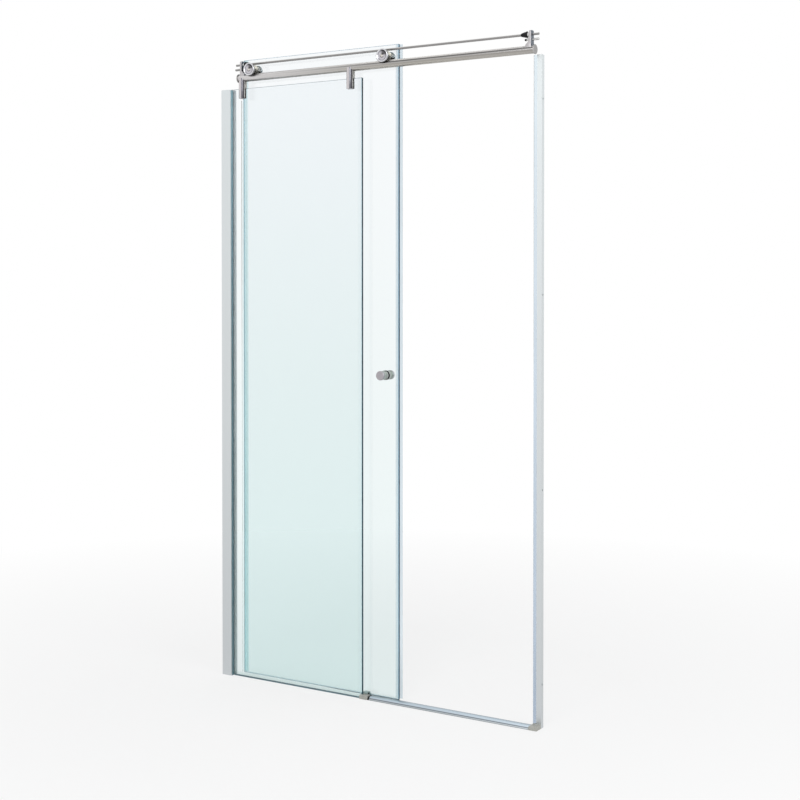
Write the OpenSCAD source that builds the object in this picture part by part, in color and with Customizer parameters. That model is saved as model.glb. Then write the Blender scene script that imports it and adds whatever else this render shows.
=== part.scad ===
// Sliding door for a shower recess: one glass panel held in a wall profile, and a glass
// door that hangs on two grooved wheels and rolls along a round header tube.
// Millimetres. X runs from the left wall to the right wall, Y from the room into the
// shower, Z up from the rim of the tray. The fixed glass and the header tube share the
// plane Y = 0, and the middle of the opening is X = 0. The door is drawn part open.

/* [Opening] */
// Distance between the two finished walls
opening_w = 1200; // [1180:1:1400]
// Left wall to the free edge of the fixed glass
fixed_reach = 568; // [540:1:580]
// Top edge of the fixed glass above the tray rim
fixed_top = 2013; // [1900:1:2050]

/* [Glass] */
// Thickness of both panels
glass_t = 8; // [6:0.5:10]
// Left wall to the door's left edge, as drawn
door_start = 65; // [62:1:90]
// Free edge of the fixed glass to the door's right edge, as drawn
door_past = 122; // [110:1:160]
// Clear space between the fixed panel and the door
door_gap = 20; // [19:0.5:26]
// Door's lower edge above the tray rim
door_foot = 8; // [7.5:0.5:12]
// Door's top edge above the wheel axles
door_crown = 39.5; // [30:0.5:60]
// Flat ground on every glass edge
arris = 0.6; // [0.3:0.1:1]

/* [Wall profile] */
// Depth of the profile from front to back
profile_w = 36; // [34:1:44]
// How far the profile stands off the wall
profile_reach = 39; // [36:1:48]
// How far the fixed glass stands above the profile
profile_drop = 3; // [2.2:0.1:12]
// Wall of the outer profile
profile_t = 2.5; // [2:0.1:3]
// Wall of the inner channel that holds the glass
channel_t = 2; // [1.5:0.1:2.5]
// How deep the glass sits inside the inner channel
glass_bite = 24; // [20:1:28]
// Radius of the wall screw holes
wall_hole_r = 2.6; // [2:0.1:3.2]
// Distance between the lowest and the highest wall hole
wall_hole_span = 1770; // [1500:10:1780]

/* [Header tube] */
// Outside diameter of the tube
tube_d = 25; // [22:0.5:28]
// Wall of the tube
tube_wall = 2; // [1.5:0.1:3]
// Tube axis above the fixed glass
tube_rise = 36; // [33:0.5:44]
// Left wall to the tube's left end
tube_from_left = 64.5; // [60:0.5:66]
// Right wall to the tube's right end
tube_from_right = 14.5; // [10:0.5:20]
// How far a tube cap's flange stands over the tube
cap_lip = 2.5; // [1.5:0.1:3]
// Thickness of a tube cap's flange
cap_t = 2.5; // [1.5:0.1:4]
// How deep a cap's plug sits in the tube
cap_plug = 5; // [4:0.5:6]

/* [Stops and anti-lift rod] */
// Diameter of the anti-lift rod
rod_d = 8; // [7:0.1:9]
// Rod axis above the tube axis
rod_up = 45.5; // [45:0.5:50]
// Diameter of the stop bolts
bolt_d = 8; // [7:0.1:9]
// Bolt axis above the tube axis
bolt_up = 30; // [30:0.5:31]
// Diameter of the ends that sit in the right wall
wall_spigot_d = 7.5; // [6:0.1:7.6]
// Thickness of an end bracket's plate
bracket_t = 7; // [5:0.5:8]
// Width of an end bracket's plate
bracket_w = 20; // [16:0.5:22]
// Left wall to the left bracket's outer face
bracket_from_left = 74; // [72:0.5:76]
// Right wall to the right bracket's outer face
bracket_from_right = 22; // [20:0.5:26]
// Run of the bracket's sloped saddle along the tube
saddle_run = 12; // [10:0.5:14]
// Left stud ends outside the left bracket, rod first
stud_out = [22, 25]; // [10:1:30]
// Bright shank between the bracket and the bumper
bolt_shank = 11; // [4:0.5:12]
// Diameter of the rubber bumper
bumper_d = 7; // [5:0.1:8]
// Length of the rubber bumper
bumper_l = 7; // [6:0.5:7]
// Length of the clamp collar behind each cone
collar_l = 9; // [6:0.5:10]
// Diameter of the clamp collar
collar_d = 13; // [11:0.5:15]
// Length of the rubber cone
cone_l = 21; // [16:0.5:21]
// Diameter of the cone at its base
cone_d = 20; // [17:0.5:21.5]

/* [Glass clamps] */
// Diameter of the clamp bars
clamp_d = 28; // [26:0.5:30]
// Left wall to the left clamp's axis
clamp_from_left = 79; // [78:0.5:90]
// Free edge of the fixed glass to the right clamp's axis
clamp_from_edge = 46; // [44:0.5:80]
// Height of glass inside a clamp
clamp_bite = 33; // [28:0.5:40]
// Thickness of the liner between clamp and glass
liner_t = 1; // [0.6:0.1:1.5]
// Radius of the clamp's set screw
clamp_screw_r = 2.5; // [1.5:0.1:2.6]
// Set screw height above the clamp's lower end
clamp_screw_up = 9; // [7:0.5:16]

/* [Rollers] */
// Wheel radius that rolls on top of the tube
run_r = 13; // [12:0.1:14.5]
// Radius of the wheel's side rims
rim_r = 17.5; // [16.5:0.1:17.5]
// Width of the wheel
wheel_w = 24; // [22:0.5:24]
// Free space between the groove and the tube
groove_gap = 0.3; // [0.2:0.05:0.5]
// Diameter of the front disc
disc_d = 44; // [38:0.5:46]
// Thickness of the front disc
disc_t = 6; // [5.5:0.1:8]
// Spacer between the front disc and the wheel
spacer_t = 3; // [2:0.1:4]
// Diameter of the round hub behind the wheel
hub_d = 17; // [15:0.1:18]
// Diameter of the rear cap
rear_cap_d = 36; // [32:0.5:40]
// Thickness of the rear cap
rear_cap_t = 9; // [8:0.5:12]
// Diameter of the axle
axle_d = 8; // [7:0.1:8.2]
// Radius of the bearing's inner ring
bearing_in_r = 5.8; // [5.4:0.1:6.4]
// Radius of the bearing's outer ring
bearing_out_r = 9.5; // [8.8:0.1:9.7]
// Running clearance between the two rings
bearing_gap = 0.05; // [0.02:0.01:0.09]
// Door's left edge to the left wheel axle
axle_in_left = 54; // [50:0.5:58]
// Door's right edge to the right wheel axle
axle_in_right = 36; // [34:0.5:60]

/* [Knob] */
// Knob axis in from the door's right edge
knob_in = 51.5; // [45:0.5:90]
// Knob height above the tray rim
knob_z = 1052; // [850:1:1200]
// Diameter of the knob
knob_d = 30; // [28:0.5:36]
// Projection of each knob from the glass
knob_l = 31; // [28:0.5:36]
// Thickness of the rings under the knobs
knob_ring_t = 1.5; // [1:0.1:2]

/* [Seals] */
// Wall of the soft seal strips
seal_t = 1; // [0.8:0.1:1.2]
// Grip of the bottom seal up the glass
wipe_grip = 4; // [3:0.5:4.5]
// Gap left under the bottom seal's lip
wipe_gap = 2.5; // [2.3:0.1:3.5]
// Grip of the right edge seal on the glass
edge_grip = 10; // [8:0.5:11]
// Width of the right edge seal's bubble
bubble_w = 12.8; // [10:0.2:13]
// Grip of the overlap seal on the glass
overlap_grip = 16; // [12:0.5:18]
// Height of the bead under the fixed glass
bead_h = 3; // [2:0.5:5]

/* [Guide, threshold and strike] */
// Length of the cover round the fixed glass's corner
guide_l = 29; // [27:1:32]
// Height of the cover and of the guide's rear jaw
guide_h = 13; // [12.5:0.5:18]
// How far the guide's upright stands above the cover
guide_rise = 5; // [4:0.5:7]
// How far the cover laps the fixed glass's corner
guide_bite = 6; // [4:0.5:8]
// Free space between a guide pad and the door's seal
guide_gap = 0.5; // [0.3:0.05:0.8]
// Thickness of the plate under the door
guide_plate = 2; // [1.5:0.1:2]
// Depth of the threshold from front to back
sill_w = 24; // [20:0.5:26]
// Height of the threshold
sill_h = 10.5; // [9:0.5:14]
// Wall of the threshold
sill_t = 1.5; // [1.2:0.1:2]
// Length of the end block at the right wall
end_block_l = 28; // [24:1:32]
// Height of the end block
end_block_h = 14; // [14:0.5:18]
// Space between the tube's underside and the strike's top
strike_gap = 0.5; // [0.5:0.5:30]
// How far the strike stands off the right wall
strike_reach = 30; // [24:0.5:30]

/* [Hidden] */
$fn = 96;
cut = 1;
left = -opening_w / 2;
right = opening_w / 2;
pane = glass_t / 2;
fixed_x = left + fixed_reach;
glass_x = left + profile_reach - glass_bite;
door_front = pane + door_gap;
door_back = door_front + glass_t;
door_left = left + door_start;
door_right = fixed_x + door_past;
tube_r = tube_d / 2;
tube_z = fixed_top + tube_rise;
tube_x0 = left + tube_from_left;
tube_x1 = right - tube_from_right;
rod_z = tube_z + rod_up;
bolt_z = tube_z + bolt_up;
axle_z = tube_z + tube_r + run_r;
door_top = axle_z + door_crown;
axle_xs = [door_left + axle_in_left, door_right - axle_in_right];
bracket_xs = [left + bracket_from_left, right - bracket_from_right - bracket_t];
clamp_xs = [left + clamp_from_left, fixed_x - clamp_from_edge];
slot_h = pane + liner_t;
clamp_z = fixed_top - clamp_bite;
knob_x = door_right - knob_in;
wheel_play = 0.3;
bush_r = axle_d / 2 + 3;
flange_t = 1;
seal_front = door_front - seal_t;
seal_back = door_back + seal_t;
pad_front = seal_front - guide_gap;
pad_back = seal_back + guide_gap;
pad_t = 1.5;
pad_in = 1;
jaw_w = 10;
block_x0 = fixed_x - guide_bite;
block_x1 = block_x0 + guide_l;
jaw_x0 = fixed_x - 14;
jaw_x1 = fixed_x + 4;
cover_back = pane + 4;
upright_x1 = fixed_x + 12;
upright_h = guide_h + guide_rise;
guide_screw_x = fixed_x - 3;
pad_screw_x = (block_x0 + upright_x1) / 2;
guide_screw_z = 8;
side_screw_z = guide_h + 1;
side_screw_y = (cover_back + pad_front - 0.5) / 2;
sill_gap = 6;
sill_x0 = block_x1 + sill_gap;
sill_x1 = right - end_block_l;
sill_y0 = -10;
strike_mid = (door_front + door_back) / 2;
strike_half = pane + 4;
strike_t = 1.8;
end_block_y = strike_mid - strike_half;
profile_h = fixed_top - profile_drop;
profile_hole_z = profile_h / 2;
strike_h = tube_z - tube_r - strike_gap;

satin = [0.80, 0.81, 0.80];
chrome = [0.86, 0.88, 0.89];
nickel = [0.56, 0.55, 0.54];
rubber = [0.06, 0.06, 0.07];
clear_glass = [0.86, 0.95, 0.95, 0.35];
vinyl = [0.78, 0.82, 0.88, 0.6];
nylon = [0.94, 0.92, 0.86];
block_grey = [0.69, 0.69, 0.66];
gasket_teal = [0.30, 0.42, 0.46];
guide_grey = [0.52, 0.62, 0.61];

// Building blocks

// A flat outline in (x, y), raised from z0 to z1
module along_z(z0, z1) {
    translate([0, 0, z0]) linear_extrude(height = z1 - z0) children();
}

// A flat outline in (x, z), pushed from y0 to y1
module along_y(y0, y1) {
    translate([0, y1, 0]) rotate([90, 0, 0]) linear_extrude(height = y1 - y0) children();
}

// A flat outline in (y, z), pushed from x0 to x1
module along_x(x0, x1) {
    translate([x0, 0, 0]) rotate([90, 0, 90]) linear_extrude(height = x1 - x0) children();
}

// A profile in (radius, y), turned about an axis along Y
module turned_y(x, z) {
    translate([x, 0, z]) rotate([-90, 0, 0]) rotate_extrude() children();
}

// A profile in (radius, x), turned about an axis along X at Y = 0
module turned_x(z) {
    translate([0, 0, z]) rotate([0, 90, 0]) rotate_extrude() children();
}

// A plain round hole or bar along Y
module bar_y(x, z, r, y0, y1) {
    translate([x, y0, z]) rotate([-90, 0, 0]) cylinder(r = r, h = y1 - y0);
}

// A plain round hole or bar along X
module bar_x(y, z, r, x0, x1) {
    translate([x0, y, z]) rotate([0, 90, 0]) cylinder(r = r, h = x1 - x0);
}

// Outline of a rectangle from (a0, b0) to (a1, b1) with cut corners
function chamfered(a0, b0, a1, b1, c) = [
    [a0 + c, b0], [a1 - c, b0], [a1, b0 + c], [a1, b1 - c],
    [a1 - c, b1], [a0 + c, b1], [a0, b1 - c], [a0, b0 + c]
];

// Outline mirrored about Y = 0
function mirrored(points) = [for (i = [len(points) - 1:-1:0]) [points[i][0], -points[i][1]]];

// Outline given as distance from the right wall, turned into x
function from_right(points) = [for (i = [len(points) - 1:-1:0]) [right - points[i][0], points[i][1]]];

// Outline reflected about the line y = m
function reflected(points, m) = [for (i = [len(points) - 1:-1:0]) [points[i][0], 2 * m - points[i][1]]];

// A sheet of glass with all its long edges ground flat
module pane(x0, x1, y0, y1, z0, z1) {
    intersection() {
        along_z(z0, z1) polygon(chamfered(x0, y0, x1, y1, arris));
        along_x(x0, x1) polygon(chamfered(y0, z0, y1, z1, arris));
    }
}

// Heights of the four wall holes in a profile, spread over a given length
function hole_heights(mid, span) = [for (k = [0:3]) mid + span * (k / 3 - 0.5)];

// Wall profile, glazing and fixed glass

half_w = profile_w / 2;
channel_y = half_w - profile_t;
channel_x0 = left + 8;
lip_y = channel_y - channel_t - 1;
screw_x = left + profile_reach - glass_bite + 9;
screw_zs = [for (k = [0:2]) profile_h * (0.08 + 0.42 * k)];

module wall_profile() {
    groove = 0.8;
    color(satin)
    difference() {
        along_z(0, profile_h) polygon([
            [left, -half_w], [left + profile_reach, -half_w],
            [left + profile_reach, -channel_y], [left + profile_t, -channel_y],
            [left + profile_t, channel_y], [left + profile_reach, channel_y],
            [left + profile_reach, half_w], [left, half_w],
            [left, half_w - 5], [left + groove, half_w - 6], [left + groove, half_w - 9],
            [left, half_w - 10], [left, 10 - half_w], [left + groove, 9 - half_w],
            [left + groove, 6 - half_w], [left, 5 - half_w]
        ]);
        for (z = hole_heights(profile_hole_z, wall_hole_span))
            bar_x(0, z, wall_hole_r, left - cut, left + profile_t + cut);
        for (z = screw_zs)
            bar_y(screw_x, z, 1.9, channel_y - cut, half_w + cut);
    }
}

module glazing_channel() {
    inner = channel_y - channel_t;
    x1 = left + profile_reach;
    rib = pane + 1;
    color(satin)
    difference() {
        along_z(0, profile_h) polygon([
            [channel_x0, -channel_y], [x1, -channel_y], [x1, -lip_y], [x1 - 2.5, -lip_y],
            [x1 - 2.5, -inner], [channel_x0 + channel_t, -inner],
            [channel_x0 + channel_t, -rib - 1.5], [channel_x0 + 5, -rib - 1.5],
            [channel_x0 + 5, -rib], [channel_x0 + channel_t, -rib],
            [channel_x0 + channel_t, rib], [channel_x0 + 5, rib],
            [channel_x0 + 5, rib + 1.5], [channel_x0 + channel_t, rib + 1.5],
            [channel_x0 + channel_t, inner], [x1 - 2.5, inner],
            [x1 - 2.5, lip_y], [x1, lip_y], [x1, channel_y], [channel_x0, channel_y]
        ]);
        for (z = screw_zs)
            bar_y(screw_x, z, 1.9, inner - cut, channel_y + cut);
    }
}

module profile_cap() {
    slot = pane + 0.3;
    x1 = left + profile_reach;
    plug = 18;
    color(satin)
    union() {
        difference() {
            along_z(profile_h, profile_h + 2)
                polygon(chamfered(left, -half_w, x1, half_w, 0.8));
            along_z(profile_h - cut, profile_h + 2 + cut)
                polygon([[glass_x - 0.3, -slot], [x1 + cut, -slot], [x1 + cut, slot], [glass_x - 0.3, slot]]);
        }
        along_z(profile_h - plug, profile_h)
            polygon(chamfered(left + profile_t, 3 - channel_y, channel_x0, channel_y - 3, 1));
    }
}

// Front or rear wedge gasket between the channel's lip and the glass
function gasket_outline(x1) = [
    [x1 - 11, -pane], [x1 - 9, -lip_y - 1], [x1 - 2.5, -lip_y - 1], [x1 - 2.5, -lip_y],
    [x1, -lip_y], [x1, -lip_y - 1.5], [x1 + 1.2, -lip_y - 0.7], [x1 + 1.8, -lip_y + 3],
    [x1 + 1.2, -pane]
];

module glazing_gaskets() {
    x1 = left + profile_reach;
    color(gasket_teal) {
        along_z(0, profile_h) polygon(gasket_outline(x1));
        along_z(0, profile_h) polygon(mirrored(gasket_outline(x1)));
    }
}

module profile_screws() {
    tip = channel_y - channel_t - 1.5;
    color(satin)
    for (z = screw_zs)
        turned_y(screw_x, z) polygon([
            [0, tip], [1.2, tip], [1.9, tip + 0.8], [1.9, half_w], [3.6, half_w],
            [3.5, half_w + 1], [2.6, half_w + 1.8], [0, half_w + 2]
        ]);
}

module fixed_glass() {
    color(clear_glass) pane(glass_x, fixed_x, -pane, pane, bead_h, fixed_top);
}

module glass_foot_seal() {
    color(gasket_teal)
    along_x(left + profile_reach + 2, block_x0) polygon([
        [-pane - 1.5, 0], [pane + 1.5, 0], [pane + 0.2, bead_h], [-pane - 0.2, bead_h]
    ]);
}

// Header tube, its caps, brackets, rod, bolts and soft stops

module header_tube() {
    color(satin)
    difference() {
        turned_x(tube_z) translate([tube_r - tube_wall, tube_x0]) square([tube_wall, tube_x1 - tube_x0]);
        for (x = clamp_xs)
            translate([x, 0, tube_z - tube_r - cut]) cylinder(r = stud_r, h = tube_r);
    }
}

// One tube cap: side is -1 at the left end and 1 at the right end
module tube_cap(x, side) {
    r_in = tube_r - tube_wall;
    flange = tube_r + cap_lip;
    color(satin)
    turned_x(tube_z) polygon([
        [0, x + side * cap_t], [flange - 1, x + side * cap_t],
        [flange, x + side * (cap_t - 1)], [flange, x], [r_in, x],
        [r_in, x - side * (cap_plug - 1)], [r_in - 1, x - side * cap_plug],
        [r_in - 3, x - side * cap_plug],
        [r_in - 3, x - side * 1], [0, x - side * 1]
    ]);
}

module tube_cap_left() { tube_cap(tube_x0, -1); }
module tube_cap_right() { tube_cap(tube_x1, 1); }

// An end bracket: a plate with the two cross holes, on a saddle that slopes down to the
// inner side. x is the plate's left face, inner is 1 if the doorway is to the right.
module end_bracket(x, inner) {
    top = rod_z + 12;
    half = bracket_w / 2;
    corner = 5;
    root = inner > 0 ? x + bracket_t : x;
    low = tube_z + tube_r;
    color(satin)
    difference() {
        union() {
            along_x(x, x + bracket_t) {
                translate([-half, tube_z + 3]) square([bracket_w, top - corner - tube_z - 3]);
                translate([corner - half, top - corner]) square([bracket_w - 2 * corner, corner]);
                translate([corner - half, top - corner]) circle(r = corner);
                translate([half - corner, top - corner]) circle(r = corner);
            }
            along_y(-half - 1, half + 1) polygon(inner > 0 ? [
                [x, tube_z + 3], [root + saddle_run, tube_z + 3], [root + saddle_run, low + 1],
                [root, low + 1 + saddle_run], [x, low + 1 + saddle_run]
            ] : [
                [x + bracket_t, tube_z + 3], [x + bracket_t, low + 1 + saddle_run],
                [root, low + 1 + saddle_run], [root - saddle_run, low + 1],
                [root - saddle_run, tube_z + 3]
            ]);
        }
        bar_x(0, tube_z, tube_r, x - saddle_run - cut, x + bracket_t + saddle_run + cut);
        bar_x(0, rod_z, rod_d / 2, x - cut, x + bracket_t + cut);
        bar_x(0, bolt_z, bolt_d / 2, x - saddle_run - cut, x + bracket_t + saddle_run + cut);
        translate([root + inner * saddle_run / 2, 0, low + 1 + saddle_run / 2])
            rotate([0, inner * 45, 0]) translate([0, 0, -30]) cylinder(r = grub_r, h = 32);
    }
}

grub_r = 2;

module end_bracket_left() { end_bracket(bracket_xs[0], 1); }
module end_bracket_right() { end_bracket(bracket_xs[1], -1); }

// Black set screw in each saddle, square to its slope
module bracket_grub_screws() {
    low = tube_z + tube_r;
    height = 1 + saddle_run / 2;
    length = (height - grub_r * 0.71 - 0.15) / 0.7072;
    color(rubber)
    for (i = [0, 1]) {
        inner = i == 0 ? 1 : -1;
        root = i == 0 ? bracket_xs[0] + bracket_t : bracket_xs[1];
        translate([root + inner * saddle_run / 2, 0, low + height])
            rotate([0, inner * 45, 0])
                difference() {
                    translate([0, 0, -length]) cylinder(r = grub_r, h = length - 0.4);
                    translate([0, 0, -2.4]) cylinder(r = 1.15, h = 3, $fn = 6);
                }
    }
}

// Long rod above the wheels: it stops them from lifting off the tube
module anti_lift_rod() {
    r = rod_d / 2;
    x0 = bracket_xs[0] - stud_out[0];
    x1 = right - bracket_from_right;
    color(satin)
    turned_x(rod_z) polygon([
        [0, x0], [r - 0.8, x0], [r, x0 + 0.8], [r, x1 + 0.6], [wall_spigot_d / 2, x1 + 0.6],
        [wall_spigot_d / 2, right], [0, right]
    ]);
}

module stop_bolt_left() {
    r = bolt_d / 2;
    x0 = bracket_xs[0] - stud_out[1];
    x1 = bracket_xs[0] + bracket_t + bolt_shank;
    color(satin)
    difference() {
        turned_x(bolt_z) polygon([
            [0, x0], [r - 0.8, x0], [r, x0 + 0.8], [r, x1], [1.6, x1], [1.6, x1 + 4], [0, x1 + 4]
        ]);
        translate([x0 - cut, 0, bolt_z]) rotate([0, 90, 0]) cylinder(r = 2.3, h = 5, $fn = 6);
    }
}

module stop_bolt_right() {
    r = bolt_d / 2;
    x0 = bracket_xs[1] - bolt_shank;
    x1 = right - bracket_from_right;
    color(satin)
    turned_x(bolt_z) polygon([
        [0, x0 - 4], [1.6, x0 - 4], [1.6, x0], [r, x0], [r, x1 + 0.6],
        [wall_spigot_d / 2, x1 + 0.6], [wall_spigot_d / 2, right], [0, right]
    ]);
}

// Rounded rubber tip on the inner end of a stop bolt
module bumper(x, side) {
    r = bumper_d / 2;
    color(rubber)
    turned_x(bolt_z) polygon([
        [1.6, x], [r, x], [r, x + side * (bumper_l - 2.4)], [r - 0.5, x + side * (bumper_l - 1.2)],
        [r - 1.4, x + side * (bumper_l - 0.4)], [0, x + side * bumper_l], [0, x + side * 4],
        [1.6, x + side * 4]
    ]);
}

module bolt_bumpers() {
    bumper(bracket_xs[0] + bracket_t + bolt_shank, 1);
    bumper(bracket_xs[1] - bolt_shank, -1);
}

module collar(x, side) {
    r = collar_d / 2;
    color(satin)
    turned_x(rod_z) polygon([
        [rod_d / 2, x], [r - 0.6, x], [r, x + side * 0.6], [r, x + side * (collar_l - 0.6)],
        [r - 0.6, x + side * collar_l], [rod_d / 2, x + side * collar_l]
    ]);
}

module rod_collars() {
    collar(bracket_xs[0] + bracket_t, 1);
    collar(bracket_xs[1], -1);
}

// Rubber cone that meets the wheel at the end of the travel
module stop_cone(x, side) {
    r = rod_d / 2;
    color(rubber)
    turned_x(rod_z) polygon([
        [r, x], [cone_d / 2 - 0.8, x], [cone_d / 2, x + side * 0.8], [cone_d / 2, x + side * 2],
        [r + 1.1, x + side * (cone_l - 0.6)], [r + 0.6, x + side * cone_l], [r, x + side * cone_l]
    ]);
}

module stop_cone_left() { stop_cone(bracket_xs[0] + bracket_t + collar_l, 1); }
module stop_cone_right() { stop_cone(bracket_xs[1] - collar_l, -1); }

// Glass clamps under the tube

stud_r = 4;

module clamp(x) {
    r = clamp_d / 2;
    screw_y = -(slot_h + 0.5 + clamp_screw_r);
    color(satin)
    difference() {
        translate([x, 0, 0]) rotate_extrude() polygon([
            [0, clamp_z], [r - 1, clamp_z], [r, clamp_z + 1], [r, tube_z], [0, tube_z]
        ]);
        bar_x(0, tube_z, tube_r, x - r - cut, x + r + cut);
        translate([x - r - cut, -slot_h, clamp_z - cut])
            cube([clamp_d + 2 * cut, 2 * slot_h, clamp_bite + liner_t + cut]);
        translate([x, 0, fixed_top]) cylinder(r = stud_r, h = tube_rise);
        bar_x(screw_y, clamp_z + clamp_screw_up, clamp_screw_r, x + 1, x + r + cut);
    }
}

module clamp_left() { clamp(clamp_xs[0]); }
module clamp_right() { clamp(clamp_xs[1]); }

// Soft liner folded over the glass inside each clamp
module clamp_liners() {
    r = clamp_d / 2 - 0.3;
    color(rubber)
    for (x = clamp_xs)
        intersection() {
            translate([x, 0, clamp_z]) cylinder(r = r, h = clamp_bite + liner_t);
            along_x(x - r, x + r) difference() {
                translate([-slot_h, clamp_z + 0.4]) square([2 * slot_h, clamp_bite + liner_t - 0.4]);
                translate([-pane, clamp_z]) square([2 * pane, clamp_bite]);
            }
        }
}

module clamp_set_screws() {
    r = clamp_d / 2;
    screw_y = -(slot_h + 0.5 + clamp_screw_r);
    reach = sqrt(r * r - (screw_y - clamp_screw_r) * (screw_y - clamp_screw_r)) - 0.3;
    color(rubber)
    for (x = clamp_xs)
        difference() {
            bar_x(screw_y, clamp_z + clamp_screw_up, clamp_screw_r, x + 1, x + reach);
            bar_socket(screw_y, clamp_z + clamp_screw_up, x + reach - 2, x + reach + cut);
        }
}

// Hexagon socket along X
module bar_socket(y, z, x0, x1) {
    translate([x0, y, z]) rotate([0, 90, 0]) cylinder(r = 0.9, h = x1 - x0, $fn = 6);
}

// Stud from each clamp up into the tube, with its nut inside the tube
module clamp_studs() {
    nut_r = 7.4;
    r_in = tube_r - tube_wall;
    seat = tube_z - sqrt(r_in * r_in - nut_r * nut_r) + 0.02;
    color(satin)
    for (x = clamp_xs) {
        translate([x, 0, fixed_top + liner_t + 0.5])
            cylinder(r = stud_r, h = seat + 7 - fixed_top - liner_t - 0.5);
        translate([x, 0, seat]) rotate([0, 0, 30]) cylinder(r = nut_r, h = 5, $fn = 6);
    }
}

// Floor guide, threshold and strike

// Cover round the corner of the fixed glass, on the room side of the door guide
module guide_cover() {
    color(block_grey)
    difference() {
        intersection() {
            along_z(0, guide_h) polygon([
                [block_x0, -12], [block_x1 - 2, -12], [block_x1, -10],
                [block_x1, cover_back], [block_x0, cover_back]
            ]);
            along_x(block_x0, block_x1) polygon([
                [-12, 0], [cover_back, 0], [cover_back, guide_h], [-12 + 3, guide_h], [-12, guide_h - 3]
            ]);
        }
        translate([block_x0 - cut, -pane, bead_h])
            cube([guide_bite + cut, glass_t, guide_h]);
        bar_y(upright_x1 - 5, 6, 1.6, pane, cover_back + cut);
    }
}

// Door guide: upright in front of the door, jaw behind it, and the plate that joins them
module guide_block() {
    chamfer = 1;
    upright_y1 = pad_front - pad_t + pad_in;
    color(guide_grey)
    difference() {
        union() {
            along_z(0, upright_h)
                polygon(chamfered(block_x0, cover_back, upright_x1, upright_y1, chamfer));
            bar_y(upright_x1 - 5, 6, 1.5, pane + 0.5, cover_back + cut);
            along_z(0, guide_plate) polygon([
                [block_x0 + 1, 10], [upright_x1 - 1, 10], [upright_x1 - 1, pad_front],
                [jaw_x1, pad_back + jaw_w], [jaw_x0, pad_back + jaw_w], [jaw_x0, pad_front + 4],
                [block_x0 + 1, pad_front - 2]
            ]);
            along_z(0, guide_h)
                polygon(chamfered(jaw_x0, pad_back + pad_t - pad_in, jaw_x1, pad_back + jaw_w, chamfer));
        }
        pad_shape(pad_front - pad_t, pad_front + cut, block_x0 + 2, upright_x1 - 2);
        pad_shape(pad_back - cut, pad_back + pad_t, jaw_x0 + 2, jaw_x1 - 2);
        bar_y(pad_screw_x, guide_screw_z, 1.5, pad_front - 8, pad_front);
        bar_y(guide_screw_x, guide_screw_z, 1.5, pad_back, pad_back + 8);
        bar_x(side_screw_y, side_screw_z, 1.5, upright_x1 - 7, upright_x1 + cut);
    }
}

// Slab from y0 to y1 with the outline of a guide pad
module pad_shape(y0, y1, x0, x1) {
    along_y(y0, y1) polygon(chamfered(x0, guide_plate + 2, x1, guide_h - 1.2, 1));
}

// Nylon pads that the bottom of the door runs between
module guide_pads() {
    color(nylon)
    difference() {
        pad_shape(pad_front - pad_t, pad_front, block_x0 + 2, upright_x1 - 2);
        turned_y(pad_screw_x, guide_screw_z) polygon([
            [0, pad_front - pad_t - cut], [1.5, pad_front - pad_t - cut], [1.5, pad_front - pad_t],
            [2.8, pad_front - 0.2], [2.8, pad_front + cut], [0, pad_front + cut]
        ]);
    }
    color(nylon)
    difference() {
        pad_shape(pad_back, pad_back + pad_t, jaw_x0 + 2, jaw_x1 - 2);
        turned_y(guide_screw_x, guide_screw_z) polygon([
            [0, pad_back - cut], [2.8, pad_back - cut], [2.8, pad_back + 0.2],
            [1.5, pad_back + pad_t], [1.5, pad_back + pad_t + cut], [0, pad_back + pad_t + cut]
        ]);
    }
}

module guide_screws() {
    color(rubber) {
        turned_y(pad_screw_x, guide_screw_z) polygon([
            [0, pad_front - 7.5], [1.5, pad_front - 7.5], [1.5, pad_front - pad_t],
            [2.8, pad_front - 0.2], [0, pad_front - 0.2]
        ]);
        turned_y(guide_screw_x, guide_screw_z) polygon([
            [0, pad_back + 0.2], [2.8, pad_back + 0.2], [1.5, pad_back + pad_t],
            [1.5, pad_back + 7.5], [0, pad_back + 7.5]
        ]);
        bar_x(side_screw_y, side_screw_z, 3, upright_x1, upright_x1 + 2.5);
        bar_x(side_screw_y, side_screw_z, 1.5, upright_x1 - 6.5, upright_x1 + cut);
    }
}

// Hollow threshold: ramp to the front, flat top, two chambers
module threshold() {
    y1 = sill_y0 + sill_w;
    slope = 7.5 / (sill_h - 1.5);
    front = sill_y0 + 1.95 + (sill_t - 1) * slope;
    rib = sill_y0 + 14;
    color(satin)
    along_x(sill_x0, sill_x1) difference() {
        polygon([
            [sill_y0, 0], [y1, 0], [y1, sill_h - 0.5], [y1 - 0.5, sill_h],
            [sill_y0 + 8.2, sill_h], [sill_y0 + 7.5, sill_h - 0.5], [sill_y0, 1]
        ]);
        polygon([
            [front, sill_t], [rib - sill_t / 2, sill_t], [rib - sill_t / 2, sill_h - sill_t],
            [front + slope * (sill_h - 2 * sill_t), sill_h - sill_t]
        ]);
        translate([rib + sill_t / 2, sill_t])
            square([y1 - rib - 1.5 * sill_t, sill_h - 2 * sill_t]);
    }
}

// Black joint between the guide's cover and the threshold
module threshold_gasket() {
    y1 = min(sill_y0 + sill_w, pad_front - pad_t) - 0.5;
    color(rubber)
    along_x(block_x1, sill_x0) polygon([
        [sill_y0 + 0.5, 0], [y1, 0], [y1, sill_h - 0.5], [sill_y0 + 8.5, sill_h - 0.5], [sill_y0 + 0.5, 1.5]
    ]);
}

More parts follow.
